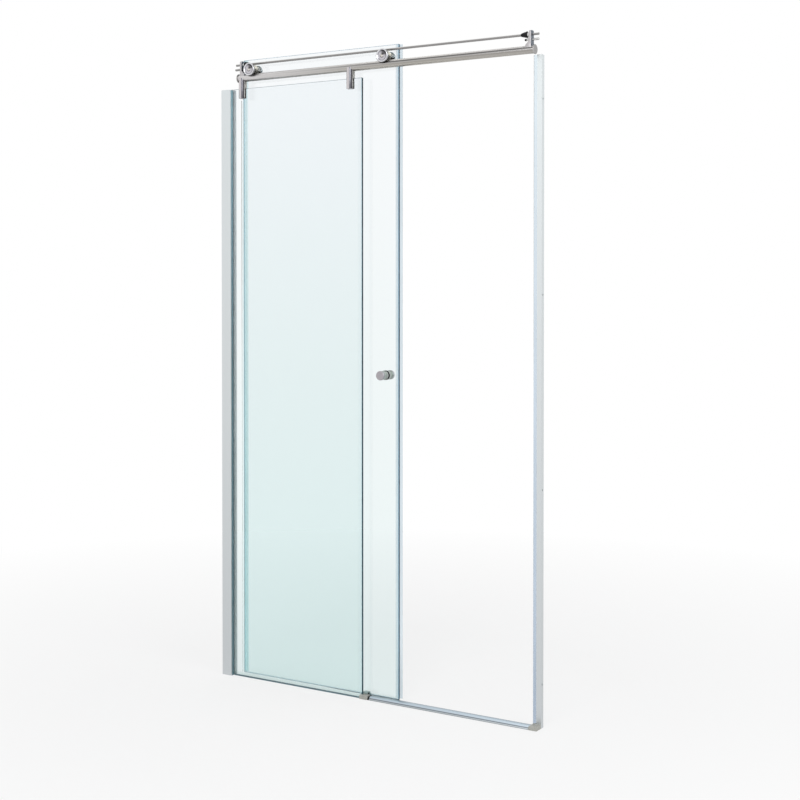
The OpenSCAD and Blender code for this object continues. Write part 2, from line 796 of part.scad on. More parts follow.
// Block at the right wall, rounded toward the doorway, with the strike behind it
module threshold_end_block() {
    r = 7;
    color(block_grey)
    intersection() {
        along_y(-12, end_block_y) {
            translate([sill_x1, 0]) square([end_block_l, end_block_h - r]);
            translate([sill_x1 + r, 0]) square([end_block_l - r, end_block_h]);
            translate([sill_x1 + r, end_block_h - r]) circle(r = r);
        }
        along_x(sill_x1, right) polygon([
            [-12, 0], [end_block_y, 0], [end_block_y, end_block_h],
            [-12 + 2.5, end_block_h], [-12, end_block_h - 2.5]
        ]);
    }
}

strike_slot = 16;

// Channel on the right wall that holds the strike seal
module strike_profile() {
    a = strike_mid - strike_half;
    t = strike_t;
    half = [
        [0, a], [strike_slot, a], [strike_slot, a + 2 * t], [strike_slot - t, a + 2 * t],
        [strike_slot - t, a + t], [2.5, a + t]
    ];
    color(satin)
    difference() {
        along_z(0, strike_h) polygon(from_right(concat(half, reflected(half, strike_mid))));
        for (z = hole_heights(strike_h / 2, wall_hole_span))
            bar_x(strike_mid, z, wall_hole_r, right - 2.5 - cut, right + cut);
    }
}

// Clear hollow seal that the door's edge closes on
module strike_seal() {
    m = strike_mid;
    w = strike_half;
    t = strike_t;
    s = strike_reach;
    e = seal_t + 0.4;
    neck = w - 2 * t - 0.2;
    barb = [
        [strike_slot - t - 2.2, m - w + t + 0.3], [strike_slot - t, m - w + t + 0.3],
        [strike_slot - t, m - neck], [strike_slot, m - neck], [strike_slot, m - w + 1],
        [s - 3, m - w + 1], [s, m - w + 5]
    ];
    hollow = [[strike_slot + e, m - w + 1 + e], [s - 3.6, m - w + 1 + e], [s - e, m - w + 5.6]];
    color(vinyl)
    along_z(0, strike_h) difference() {
        polygon(from_right(concat(barb, reflected(barb, m))));
        polygon(from_right(concat(hollow, reflected(hollow, m))));
    }
}

// Sliding door: glass, hangers, knobs and seals

module door_glass() {
    color(clear_glass)
    difference() {
        pane(door_left, door_right, door_front, door_back, door_foot, door_top);
        for (x = axle_xs)
            bar_y(x, axle_z, bush_r, door_front - cut, door_back + cut);
        bar_y(knob_x, knob_z, 6, door_front - cut, door_back + cut);
    }
}

wheel_y = wheel_w / 2;
disc_back = -wheel_y - spacer_t;
disc_front = disc_back - disc_t;
hub_back = door_front - flange_t;
cap_front = door_back + flange_t;
cap_back = cap_front + rear_cap_t;

module axle(x) {
    r = axle_d / 2;
    color(satin)
    turned_y(x, axle_z) polygon([
        [0, disc_back - 2.6], [r - 0.6, disc_back - 2.6], [r, disc_back - 2],
        [r, cap_front + 4.4], [r - 0.6, cap_front + 5], [0, cap_front + 5]
    ]);
}

module roller_axle_left() { axle(axle_xs[0]); }
module roller_axle_right() { axle(axle_xs[1]); }

// Dished chrome disc in front of the wheel
module disc(x) {
    r = disc_d / 2;
    f = disc_front;
    color(chrome)
    turned_y(x, axle_z) polygon([
        [0, f + 0.4], [5.5, f + 0.6], [7.5, f + 1.3], [8.6, f + 2.2], [r - 6, f + 2.2],
        [r - 3.6, f + 0.9], [r - 2.9, f + 0.1], [r - 2.2, f], [r - 1.2, f + 0.2],
        [r - 0.3, f + 0.9], [r, f + 1.8], [r, disc_back - 1], [r - 1, disc_back],
        [axle_d / 2, disc_back], [axle_d / 2, disc_back - 2.8], [0, disc_back - 2.8]
    ]);
}

module roller_disc_left() { disc(axle_xs[0]); }
module roller_disc_right() { disc(axle_xs[1]); }

// Ball shaped chrome hub between the wheel and the glass
module hub(x) {
    color(chrome)
    turned_y(x, axle_z) intersection() {
        translate([0, (wheel_y + hub_back) / 2]) circle(r = hub_d / 2);
        translate([axle_d / 2, wheel_y]) square([hub_d, hub_back - wheel_y]);
    }
}

module roller_hub_left() { hub(axle_xs[0]); }
module roller_hub_right() { hub(axle_xs[1]); }

// Flanged half bushes that line each hole in the glass from both sides
function bush_half(flange_r) = [
    [axle_d / 2, hub_back], [flange_r, hub_back], [flange_r, door_front], [bush_r, door_front],
    [bush_r, (door_front + door_back) / 2], [axle_d / 2, (door_front + door_back) / 2]
];

module glass_bushes() {
    mid = (door_front + door_back) / 2;
    front = bush_half(bush_r + 2);
    rear = bush_half(rear_cap_d / 2 - 3);
    color(nylon)
    for (x = axle_xs) {
        turned_y(x, axle_z) polygon(front);
        turned_y(x, axle_z) polygon(reflected(rear, mid));
    }
}

// Dark spacer between each disc and its wheel
module roller_spacers() {
    color(rubber)
    for (x = axle_xs)
        turned_y(x, axle_z) translate([axle_d / 2, disc_back]) square([4, spacer_t]);
}

module rear_cap(x) {
    r = rear_cap_d / 2;
    color(chrome)
    turned_y(x, axle_z) polygon([
        [axle_d / 2, cap_front], [r - 0.6, cap_front], [r, cap_front + 0.6],
        [r, cap_back - 3.5], [r - 0.8, cap_back - 2], [r - 2.4, cap_back - 0.9],
        [r - 5, cap_back - 0.3], [0, cap_back], [0, cap_front + 5.2], [axle_d / 2, cap_front + 5.2]
    ]);
}

module rear_cap_left() { rear_cap(axle_xs[0]); }
module rear_cap_right() { rear_cap(axle_xs[1]); }

// Plain bearing: inner ring on the axle, outer ring in the wheel
module bearing_inner(x) {
    color(chrome)
    turned_y(x, axle_z) translate([axle_d / 2, -wheel_y])
        square([bearing_in_r - axle_d / 2, wheel_w]);
}

module bearing_outer(x) {
    color(chrome)
    turned_y(x, axle_z) translate([bearing_in_r + bearing_gap, wheel_play - wheel_y])
        square([bearing_out_r - bearing_in_r - bearing_gap, wheel_w - 2 * wheel_play]);
}

module bearing_inner_left() { bearing_inner(axle_xs[0]); }
module bearing_inner_right() { bearing_inner(axle_xs[1]); }
module bearing_outer_left() { bearing_outer(axle_xs[0]); }
module bearing_outer_right() { bearing_outer(axle_xs[1]); }

// Nylon wheel: its groove is a ring cut round the tube, a little wider than the tube
module wheel(x) {
    half = wheel_y - wheel_play;
    color(nylon)
    turned_y(x, axle_z) difference() {
        polygon([
            [bearing_out_r, -half], [rim_r - 0.6, -half], [rim_r, 0.6 - half],
            [rim_r, half - 0.6], [rim_r - 0.6, half], [bearing_out_r, half]
        ]);
        translate([run_r + tube_r, 0]) circle(r = tube_r + groove_gap);
    }
}

module roller_wheel_left() { wheel(axle_xs[0]); }
module roller_wheel_right() { wheel(axle_xs[1]); }

// Half of a knob as (radius, distance from the glass), waisted between head and foot
module knob_profile() {
    r = knob_d / 2;
    difference() {
        polygon([
            [0, knob_l], [r - 2.2, knob_l - 0.2], [r - 0.8, knob_l - 0.9], [r, knob_l - 2.2],
            [r, knob_l - 10], [r - 0.5, knob_l - 10.4], [r - 0.5, knob_ring_t],
            [3, knob_ring_t], [3, 18], [0, 18]
        ]);
        translate([r + 11, knob_l / 2 - 1.5]) circle(r = 13.4);
    }
}

module knob_front() {
    color(nickel)
    translate([knob_x, door_front, knob_z]) rotate([90, 0, 0]) rotate_extrude() knob_profile();
}

module knob_rear() {
    color(nickel)
    translate([knob_x, door_back, knob_z]) rotate([-90, 0, 0]) rotate_extrude() knob_profile();
}

// Black rings under the knobs, each with half of the sleeve through the glass
module knob_rings() {
    mid = (door_front + door_back) / 2;
    r = knob_d / 2 + 0.7;
    front = [
        [3, door_front - knob_ring_t], [r, door_front - knob_ring_t], [r, door_front],
        [6, door_front], [6, mid], [3, mid]
    ];
    color(rubber) {
        turned_y(knob_x, knob_z) polygon(front);
        turned_y(knob_x, knob_z) polygon(reflected(front, mid));
    }
}

module knob_stud() {
    color(satin) bar_y(knob_x, knob_z, 3, door_front - 17, door_back + 17);
}

// Clear bubble seal on the door's closing edge
module door_edge_seal() {
    x = door_right;
    mid = (door_front + door_back) / 2;
    b = x + seal_t + 0.2;
    tip = b + bubble_w;
    w = pane + seal_t - 0.5;
    grip = [[x - edge_grip, door_front], [x - edge_grip, seal_front], [b, seal_front]];
    bubble = [[b, mid - w], [tip - 5, mid - w], [tip, mid - 1]];
    hollow = [
        [b + seal_t, mid - w + seal_t], [tip - 5 - seal_t * 0.4, mid - w + seal_t],
        [tip - seal_t, mid - 0.4]
    ];
    slot = [[x - edge_grip - cut, door_front], [x, door_front]];
    color(vinyl)
    along_z(door_foot + wipe_grip + 0.5, door_top - 2) difference() {
        union() {
            polygon(concat(grip, reflected(grip, mid)));
            polygon(concat(bubble, reflected(bubble, mid)));
        }
        polygon(concat(slot, reflected(slot, mid)));
        polygon(concat(hollow, reflected(hollow, mid)));
    }
}

// Clear seal on the door's rear edge, with a lip toward the fixed glass
module overlap_seal() {
    x = door_left;
    b = x - seal_t - 0.2;
    z0 = door_foot + wipe_grip + 0.5;
    tip = pane + 0.9;
    reach = seal_front - tip;
    t = seal_t + 0.2;
    color(vinyl) {
        along_z(z0, door_top - 2) polygon([
            [b, seal_front], [x + overlap_grip, seal_front], [x + overlap_grip, door_front],
            [x, door_front], [x, door_back], [x + overlap_grip, door_back],
            [x + overlap_grip, seal_back], [b, seal_back]
        ]);
        along_z(z0 + 2, clamp_z - 6) polygon([
            [b, seal_front], [b, seal_front - reach * 0.2], [b + 1.6, seal_front - reach * 0.55],
            [b + 7.2, tip], [b + 8, tip + 0.8], [b + 1.6 + t, seal_front - reach * 0.52],
            [b + t, seal_front - reach * 0.17], [b + t, seal_front]
        ]);
    }
}

// Clear wiping seal under the door
module bottom_seal() {
    z = door_foot;
    mid = (door_front + door_back) / 2;
    t = seal_t;
    color(vinyl)
    along_x(door_left, door_right) {
        polygon([
            [seal_front, z - t], [seal_back, z - t], [seal_back, z + wipe_grip],
            [door_back, z + wipe_grip], [door_back, z], [door_front, z],
            [door_front, z + wipe_grip], [seal_front, z + wipe_grip]
        ]);
        polygon([
            [mid - t, z - t], [mid - t * 1.6, z - t - 2], [mid - 3.2, wipe_gap],
            [mid - 2.2, wipe_gap], [mid - t * 0.5, z - t - 2], [mid + t * 0.2, z - t]
        ]);
    }
}

wall_profile();
glazing_channel();
profile_cap();
glazing_gaskets();
profile_screws();
fixed_glass();
glass_foot_seal();
header_tube();
tube_cap_left();
tube_cap_right();
end_bracket_left();
end_bracket_right();
bracket_grub_screws();
anti_lift_rod();
stop_bolt_left();
stop_bolt_right();
bolt_bumpers();
rod_collars();
stop_cone_left();
stop_cone_right();
clamp_left();
clamp_right();
clamp_liners();
clamp_set_screws();
clamp_studs();
guide_cover();
guide_block();
guide_pads();
guide_screws();
threshold();
threshold_gasket();
threshold_end_block();
strike_profile();
strike_seal();
door_glass();
roller_axle_left();
roller_axle_right();
roller_disc_left();
roller_disc_right();
roller_hub_left();
roller_hub_right();
glass_bushes();
roller_spacers();
rear_cap_left();
rear_cap_right();
knob_front();
knob_rear();
knob_rings();
knob_stud();
door_edge_seal();
overlap_seal();
bottom_seal();
bearing_inner_left();
bearing_inner_right();
bearing_outer_left();
bearing_outer_right();
roller_wheel_left();
roller_wheel_right();
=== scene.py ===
"""Sliding shower door: finishes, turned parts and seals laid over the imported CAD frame.

Lengths in the code are millimetres until a mesh is written, which is in metres. X runs from
the wall of the fixed panel to the closing wall, Y from the room into the shower, Z up from
the rim under the door. Every finished piece sits at the origin, unturned.
"""

import math

import bmesh
import bpy
import numpy as np
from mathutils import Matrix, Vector


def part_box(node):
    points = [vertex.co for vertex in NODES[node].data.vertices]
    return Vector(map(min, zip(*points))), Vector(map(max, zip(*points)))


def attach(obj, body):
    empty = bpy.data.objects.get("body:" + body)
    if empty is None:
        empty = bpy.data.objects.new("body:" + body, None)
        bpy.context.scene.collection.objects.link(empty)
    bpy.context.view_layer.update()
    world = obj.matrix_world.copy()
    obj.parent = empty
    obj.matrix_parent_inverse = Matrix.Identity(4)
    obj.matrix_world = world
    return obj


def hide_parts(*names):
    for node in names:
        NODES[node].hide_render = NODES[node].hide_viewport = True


bl_info = {
    "name": "Sliding Shower Door",
    "version": (1, 0, 0),
    "blender": (4, 5, 0),
    "location": "View3D > Sidebar > Shower Door",
    "description": "Dresses a sliding shower door with its glass, header, rollers, knob, seals and stage",
    "category": "Object",
}

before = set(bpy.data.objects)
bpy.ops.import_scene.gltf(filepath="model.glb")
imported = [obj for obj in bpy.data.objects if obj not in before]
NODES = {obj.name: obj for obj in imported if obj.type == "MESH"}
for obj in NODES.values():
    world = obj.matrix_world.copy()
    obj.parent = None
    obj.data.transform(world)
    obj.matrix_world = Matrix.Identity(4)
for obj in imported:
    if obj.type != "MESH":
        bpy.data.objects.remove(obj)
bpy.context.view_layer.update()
FINISH = {}  # materials by their key, filled by the finishes operator

MM = 0.001
WELD = 2e-6  # metres: nearer corners become one
SAME_POINT = 1e-5  # millimetres: nearer outline points become one
SIDE_SHARE = 0.48  # most of a side that one rounded corner takes
SEAT_OVERLAP = 0.02  # how far saddles and bars reach into the tube
SEAL_SHARP = 50  # degrees: steeper folds in a vinyl section stay sharp
TUBE_WALL = 2.0
WALL_NECK = 21.4  # thinner ends of the rod and the right stud, at the wall
TIP_R, TIP_LENGTH = 1.6, 4  # pin on each stop bolt that holds its bumper
AXLE_R = 4
BRUSH_GRAIN, LATHE_GRAIN = 2400, 5200  # scale of the noise in brushed and turned metal
GROOVE_GAP = 0.3  # between the wheel's groove and the tube
SIDES = (("left", 1), ("right", -1))  # with the direction along X toward the middle

UP, RIGHT, BACK = (0.0, 0.0, 1.0), (1.0, 0.0, 0.0), (0.0, 1.0, 0.0)
DOOR_HEIGHT = (0.0, 2.05)  # metres of Z over which painted shade is graded on glass, vinyl and gaskets
TUBE_TURN = (-0.4, 0.1)  # metres of X over which the tube's painted shade and highlights change from near to far
MIX_A, MIX_B, MIX_OUT = 6, 7, 2  # colour sockets of a Mix node
PHOTO_SHIFT = -0.11191  # the photograph's frame lies this share of its width off the lens axis


def box(node):
    """Lowest and highest corner of a CAD node in millimetres."""
    lo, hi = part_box(node)
    return np.array(lo, float) / MM, np.array(hi, float) / MM


# ---------------------------------------------------------------- surfaces


def eased(points, radius, steps=5, closed=True):
    """Outline with rounded corners.

    Corner P gives way to the parabola (1-s)^2 A + 2 s (1-s) P + s^2 B, where A and B lie
    radius away from P on its two sides. Extra columns are carried along unchanged.
    """
    p = np.asarray(points, float)
    r = np.broadcast_to(np.asarray(radius, float), (len(p),))[:, None]
    back, on = np.roll(p, 1, 0) - p, np.roll(p, -1, 0) - p
    back_l = np.linalg.norm(back[:, :2], axis=1, keepdims=True) + 1e-9
    on_l = np.linalg.norm(on[:, :2], axis=1, keepdims=True) + 1e-9
    a = p + back * (np.minimum(r, SIDE_SHARE * back_l) / back_l)
    b = p + on * (np.minimum(r, SIDE_SHARE * on_l) / on_l)
    s = np.linspace(0, 1, steps)[None, :, None]
    curve = (1 - s) ** 2 * a[:, None] + 2 * s * (1 - s) * p[:, None] + s**2 * b[:, None]
    if not closed:
        curve[0], curve[-1] = p[0], p[-1]
    curve = curve.reshape(-1, p.shape[1])
    step = np.linalg.norm(np.diff(curve, axis=0), axis=1)
    return curve[np.concatenate([[True], step > SAME_POINT])]


def quads(rows, cols, wrap_rows, wrap_cols):
    """Corner indices and turns of every quad on a grid of rows by cols points."""
    i, j = np.meshgrid(np.arange(rows if wrap_rows else rows - 1),
                       np.arange(cols if wrap_cols else cols - 1), indexing="ij")
    i, j = i.ravel(), j.ravel()
    k, m = (i + 1) % rows, (j + 1) % cols
    face = np.stack([i * cols + j, i * cols + m, k * cols + m, k * cols + j], -1)
    turn = np.stack([np.stack([j, j + 1, j + 1, j], -1), np.stack([i, i, i + 1, i + 1], -1)], -1)
    return face, turn


def surface(points, wrap_rows=False, wrap_cols=False, caps=()):
    """Grid of points as (corners, faces, UVs): U counts turns, V metres along the first column."""
    rows, cols = points.shape[:2]
    face, turn = quads(rows, cols, wrap_rows, wrap_cols)
    line = np.concatenate([points[:, 0], points[:1, 0]])
    run = np.concatenate([[0], np.cumsum(np.linalg.norm(np.diff(line, axis=0), axis=1))]) * MM
    uv = np.stack([turn[..., 0] / cols, run[turn[..., 1]]], -1)
    faces, uvs = face.tolist(), uv.reshape(-1, 2)
    for row in caps:
        ring = np.arange(cols) + (row % rows) * cols
        faces.append(ring.tolist())
        flat = points[row] - points[row].mean(0)
        spread = np.argsort(np.ptp(flat, axis=0))[1:]
        uvs = np.concatenate([uvs, flat[:, spread] * MM])
    return points.reshape(-1, 3), faces, uvs


def basis(axis):
    """Three unit vectors: two across the axis, then the axis itself."""
    w = np.asarray({"X": (1, 0, 0), "Y": (0, 1, 0), "Z": (0, 0, 1)}.get(axis, axis), float)
    w = w / np.linalg.norm(w)
    u = np.cross(w, (0, 0, 1) if abs(w[2]) < 0.9 else (0, 1, 0))
    u = u / np.linalg.norm(u)
    return u, np.cross(w, u), w


def lathe(profile, centre, axis, turns, ring=False):
    """Surface of revolution: centre + height * axis + radius * (cos a across + sin a up).

    A third column of the profile blends the circle to a hexagon, whose radius is
    cos 30 / cos(a mod 60 - 30) of its corner radius. ring closes the profile on itself.
    """
    p = np.asarray(profile, float)
    hexed = p[:, 2:3] if p.shape[1] > 2 else np.zeros((len(p), 1))
    a = np.linspace(0, 2 * math.pi, turns, endpoint=False)[None]
    six = math.cos(math.pi / 6) / np.cos(a % (math.pi / 3) - math.pi / 6)
    radius = p[:, :1] * (1 + hexed * (six - 1))
    u, v, w = basis(axis)
    points = (np.asarray(centre, float) + p[:, 1, None, None] * w
              + (radius * np.cos(a))[..., None] * u + (radius * np.sin(a))[..., None] * v)
    return surface(points, wrap_rows=ring, wrap_cols=True)


def spun(profile, radii, centre, axis="Y", turns=72, steps=5, ring=False):
    """Lathe of an outline whose corners are rounded first."""
    return lathe(eased(profile, radii, steps, ring), centre, axis, turns, ring)


def placed(flat, axis, along):
    """Outline points (columns of the plane across the axis) lifted to 3D at a place along it."""
    x, y = flat[..., 0], flat[..., 1]
    along = np.broadcast_to(along, x.shape)
    order = {"X": (along, x, y), "Y": (x, along, y), "Z": (x, y, along)}[axis]
    return np.stack(order, -1)


def drawn(outline, axis, start, end, ease):
    """Closed outline carried along a straight path, eased at its start and end.

    Near each end it shrinks along its own normals by a quarter circle: inset e (1 - sin t)
    at distance e (1 - cos t) from the end, for t from 0 to a right angle.
    """
    p = np.asarray(outline, float)
    p = p[np.linalg.norm(p - np.roll(p, 1, 0), axis=1) > SAME_POINT]
    tangent = np.roll(p, -1, 0) - np.roll(p, 1, 0)
    tangent /= np.linalg.norm(tangent, axis=1, keepdims=True)
    area = np.sum(p[:, 0] * np.roll(p[:, 1], -1) - np.roll(p[:, 0], -1) * p[:, 1])
    inward = np.stack([-tangent[:, 1], tangent[:, 0]], 1) * np.sign(area)
    t = np.linspace(0, math.pi / 2, 4)
    inset = np.concatenate([ease[0] * (1 - np.sin(t)), ease[1] * (1 - np.sin(t[::-1]))])
    along = np.concatenate([start + ease[0] * (1 - np.cos(t)), end - ease[1] * (1 - np.cos(t[::-1]))])
    rings = p[None] + inward[None] * inset[:, None, None]
    return surface(placed(rings, axis, along[:, None]), wrap_cols=True, caps=(0, -1))


def strip(line, axis, start, end):
    """Open section line carried along a straight path, to be given its wall by Solidify."""
    p = np.asarray(line, float)
    return surface(placed(np.stack([p, p]), axis, np.array([[start], [end]], float)))


def arc(cx, cy, r, a0, a1, steps):
    """Points on a circle from angle a0 to a1, in degrees."""
    a = np.radians(np.linspace(a0, a1, steps))
    return np.stack([cx + r * np.cos(a), cy + r * np.sin(a)], 1)


def piece(name, shells, body, finish, replaces=(), sharp=32, wall=None):
    """Writes the shells as one mesh, welds seams and poles, turns faces outward and rides it."""
    verts, faces, uvs, base = [], [], [], 0
    for v, f, t in shells:
        verts.append(v)
        faces += [[i + base for i in face] for face in f]
        uvs.append(t)
        base += len(v)
    mesh = bpy.data.meshes.new(name)
    mesh.from_pydata((np.concatenate(verts) * MM).tolist(), [], faces)
    layer = mesh.uv_layers.new(name="surface")
    layer.data.foreach_set("uv", np.concatenate(uvs).astype(np.float32).ravel())
    bm = bmesh.new()
    bm.from_mesh(mesh)
    bmesh.ops.remove_doubles(bm, verts=bm.verts, dist=WELD)
    bmesh.ops.recalc_face_normals(bm, faces=bm.faces)
    bm.to_mesh(mesh)
    bm.free()
    mesh.shade_smooth()
    mesh.set_sharp_from_angle(angle=math.radians(sharp))
    mesh.materials.append(FINISH[finish])
    ob = bpy.data.objects.new(name, mesh)
    bpy.context.scene.collection.objects.link(ob)
    if wall:
        solid = ob.modifiers.new("wall", "SOLIDIFY")
        solid.thickness, solid.offset, solid.use_even_offset = wall * MM, 0.0, True
    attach(ob, body)
    if replaces:
        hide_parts(*replaces)
    return ob


def seal(name, lines, axis, start, end, body, finish, replaces, wall):
    """Vinyl section of one or more open lines, carried along an axis and given its wall."""
    shells = [strip(line, axis, start, end) for line in lines]
    piece(name, shells, body, finish, replaces, SEAL_SHARP, wall)


def dress(finish, *names):
    """Gives CAD nodes a finish through their own material slots."""
    for name in names:
        ob = NODES[name]
        if not ob.material_slots:
            ob.data.materials.append(FINISH[finish])
        for slot in ob.material_slots:
            slot.material = FINISH[finish]


# ---------------------------------------------------------------- finishes


class Finish:
    """A procedural material: one Principled shader and the nodes that drive it."""

    def __init__(self, name, **sockets):
        self.mat = bpy.data.materials.new(name)
        self.mat.use_nodes = True
        self.tree = self.mat.node_tree
        self.tree.nodes.clear()
        self.out = self.node("OutputMaterial")
        self.shader = self.node("BsdfPrincipled", {k.replace("_", " "): v for k, v in sockets.items()})
        self.link(self.shader, "BSDF", self.out, "Surface")

    def node(self, kind, inputs=(), **props):
        """New shader node with its properties and the values of its inputs set."""
        n = self.tree.nodes.new("ShaderNode" + kind)
        for key, value in props.items():
            setattr(n, key, value)
        for key, value in dict(inputs).items():
            n.inputs[key].default_value = value
        return n

    def link(self, a, out, b, into):
        self.tree.links.new(a.outputs[out], b.inputs[into])

    def noise(self, scale, stretch=(1, 1, 1), detail=4.0, rough=0.6, source="Object"):
        """Noise over a coordinate, stretched where an axis has a small factor."""
        mapping = self.node("Mapping", {"Scale": stretch})
        n = self.node("TexNoise", {"Scale": scale, "Detail": detail, "Roughness": rough})
        self.link(self.node("TexCoord"), source, mapping, "Vector")
        self.link(mapping, "Vector", n, "Vector")
        return n

    def ramp(self, source, out, stops):
        """Colour ramp with (place, colour) stops, driven by an output of a node."""
        r = self.node("ValToRGB")
        els = r.color_ramp.elements
        for i, (at, colour) in enumerate(stops):
            el = els[i] if i < 2 else els.new(at)
            el.position, el.color = at, (*colour, 1.0)
        self.link(source, out, r, "Fac")
        return r

    def spread(self, source, out, low, high, start=0.3, end=0.7):
        """Maps start to end of a value onto low to high."""
        m = self.node("MapRange", {"From Min": start, "From Max": end, "To Min": low, "To Max": high})
        self.link(source, out, m, "Value")
        return m

    def mixed(self, factor, a, b=None):
        """Colour layer between layer a and layer b, or white, by the Result of a 0..1 node."""
        m = self.node("Mix", {MIX_B: (1, 1, 1, 1)}, data_type="RGBA")
        self.link(factor, "Result", m, "Factor")
        self.link(*a, m, MIX_A)
        if b:
            self.link(*b, m, MIX_B)
        return m, MIX_OUT

    def mottled(self, noise, dark, light, low=0.3):
        """Colour layer from dark to light by a noise; a layer is a node and its output."""
        return self.ramp(noise, "Fac", [(low, dark), (1 - low, light)]), "Color"

    def toned(self, source, stops):
        """Colour layer read from ramp stops by the Result of a 0..1 node."""
        return self.ramp(source, "Result", stops), "Color"

    def product(self, top, *layers):
        """Colour layers multiplied into one."""
        for layer in layers:
            m = self.node("Mix", {"Factor": 1.0}, data_type="RGBA", blend_type="MULTIPLY")
            self.link(*top, m, MIX_A)
            self.link(*layer, m, MIX_B)
            top = m, MIX_OUT
        return top

    def tint(self, *layers):
        """Gives the product of colour layers to the base colour."""
        self.link(*self.product(*layers), self.shader, "Base Color")

    def finished(self, layers, noise, roughness, distance=None, strength=0.35):
        """Material of these colour layers, its roughness and bump driven by one noise."""
        self.tint(*layers)
        self.link(self.spread(noise, "Fac", *roughness), "Result", self.shader, "Roughness")
        if distance:
            b = self.node("Bump", {"Strength": strength, "Distance": distance})
            self.link(noise, "Fac", b, "Height")
            self.link(b, "Normal", self.shader, "Normal")
        return self.mat

    def facing(self, direction):
        """Object-space normal against a fixed direction, from -1 to 1, shifted to 0..1."""
        dot = self.node("VectorMath", {1: direction}, operation="DOT_PRODUCT")
        self.link(self.node("TexCoord"), "Normal", dot, 0)
        return self.spread(dot, "Value", 0.0, 1.0, -1.0, 1.0)

    def place(self, axis, low, high, source="Object"):
        """Place along one axis of the object or its UV map, low to high in metres, as 0..1."""
        sep = self.node("SeparateXYZ")
        self.link(self.node("TexCoord"), source, sep, "Vector")
        return self.spread(sep, axis, 0.0, 1.0, low, high)

    def sector(self, levels, depth):
        """Levels over one turn of a lathe's UV map, held to a depth in metres along its profile."""
        turn = self.toned(self.place("X", 0.0, 1.0, "UV"), greys(*levels))
        beyond = self.spread(self.place("Y", 0.0, depth, "UV"), "Result", 0.0, 1.0, 0.95, 1.0)
        return self.mixed(beyond, turn)


def scaled(colour, by):
    """A colour times one number, or times one for each channel."""
    return tuple(np.multiply(tuple(colour), by).tolist())


def around(colour, share):
    """The colour darker and lighter by a share of itself."""
    return scaled(colour, 1 - share), scaled(colour, 1 + share)


def greys(*stops):
    """Ramp stops from (place, level) pairs."""
    return [(at, (level, level, level)) for at, level in stops]


def brushed(name, colour, along, roughness, shade=None, contrast=0.14, far=None, grade=None):
    """Brushed metal: noise drawn out along one axis drives colour, roughness and bump.

    shade is a direction and levels of painted shade and highlight by how far the surface faces it,
    such as the painted dark underside and pale crown of a drawn tube. far gives the painted levels at
    the other end of TUBE_TURN, along X, and grade paints light along an axis.
    """
    f = Finish(name, Metallic=1.0)
    stretch = [1.0, 1.0, 1.0]
    stretch["XYZ".index(along)] = 0.01
    n = f.noise(BRUSH_GRAIN, tuple(stretch), 6.0, 0.7)
    layers = [f.mottled(n, *around(colour, contrast))]
    if shade:
        side = f.facing(shade[0])
        near = f.toned(side, shade[1])
        layers.append(f.mixed(f.place("X", *TUBE_TURN), near, f.toned(side, far)) if far else near)
    if grade:
        layers.append(f.toned(f.place(*grade[0]), grade[1]))
    return f.finished(layers, n, roughness, 0.00003)


def turned(name, colour, roughness, contrast=0.1, zones=None, reach=0.04, lean=None, sector=None):
    """Turned metal: noise along V only, so its lines run round the axis like lathe marks.

    zones paints highlight and shade rings on the turned profile from its start to reach metres along it,
    lean paints shade and highlight by how far the surface faces a direction, and sector is painted
    reflection levels over one turn and the depth along the profile to which they hold.
    """
    f = Finish(name, Metallic=1.0)
    n = f.noise(LATHE_GRAIN, (0.0, 1.0, 0.0), 5.0, 0.75, "UV")
    haze = f.noise(160, detail=5.0)
    layers = [f.mottled(n, *around(colour, contrast)),
              f.mottled(haze, (0.94, 0.94, 0.95), (1.0, 1.0, 1.0), 0.35)]
    if zones:
        layers.append(f.toned(f.place("Y", 0.0, reach, "UV"), zones))
    if lean:
        layers.append(f.toned(f.facing(lean[0]), greys(*lean[1])))
    if sector:
        layers.append(f.sector(*sector))
    return f.finished(layers, n, roughness, 0.00002, 0.3)


def moulded(name, colour, levels, roughness, lean=None, sector=None, grade=None, **sockets):
    """Moulded plastic or rubber: soft mottling between two levels of its colour, fine grain."""
    f = Finish(name, **sockets)
    cloud = f.noise(70, detail=3.0)
    fine = f.noise(1100, detail=2.5)
    layers = [f.mottled(cloud, *(scaled(colour, level) for level in levels), 0.35)]
    # lean paints shade by facing, sector paints a dark spot over one turn, grade paints light up the height
    if lean:
        layers.append(f.toned(f.facing(lean[0]), greys(*lean[1])))
    if sector:
        layers.append(f.sector(*sector))
    if grade:
        layers.append(f.toned(f.place("Z", *DOOR_HEIGHT), grade))
    return f.finished(layers, fine, roughness, 0.00004, 0.4)


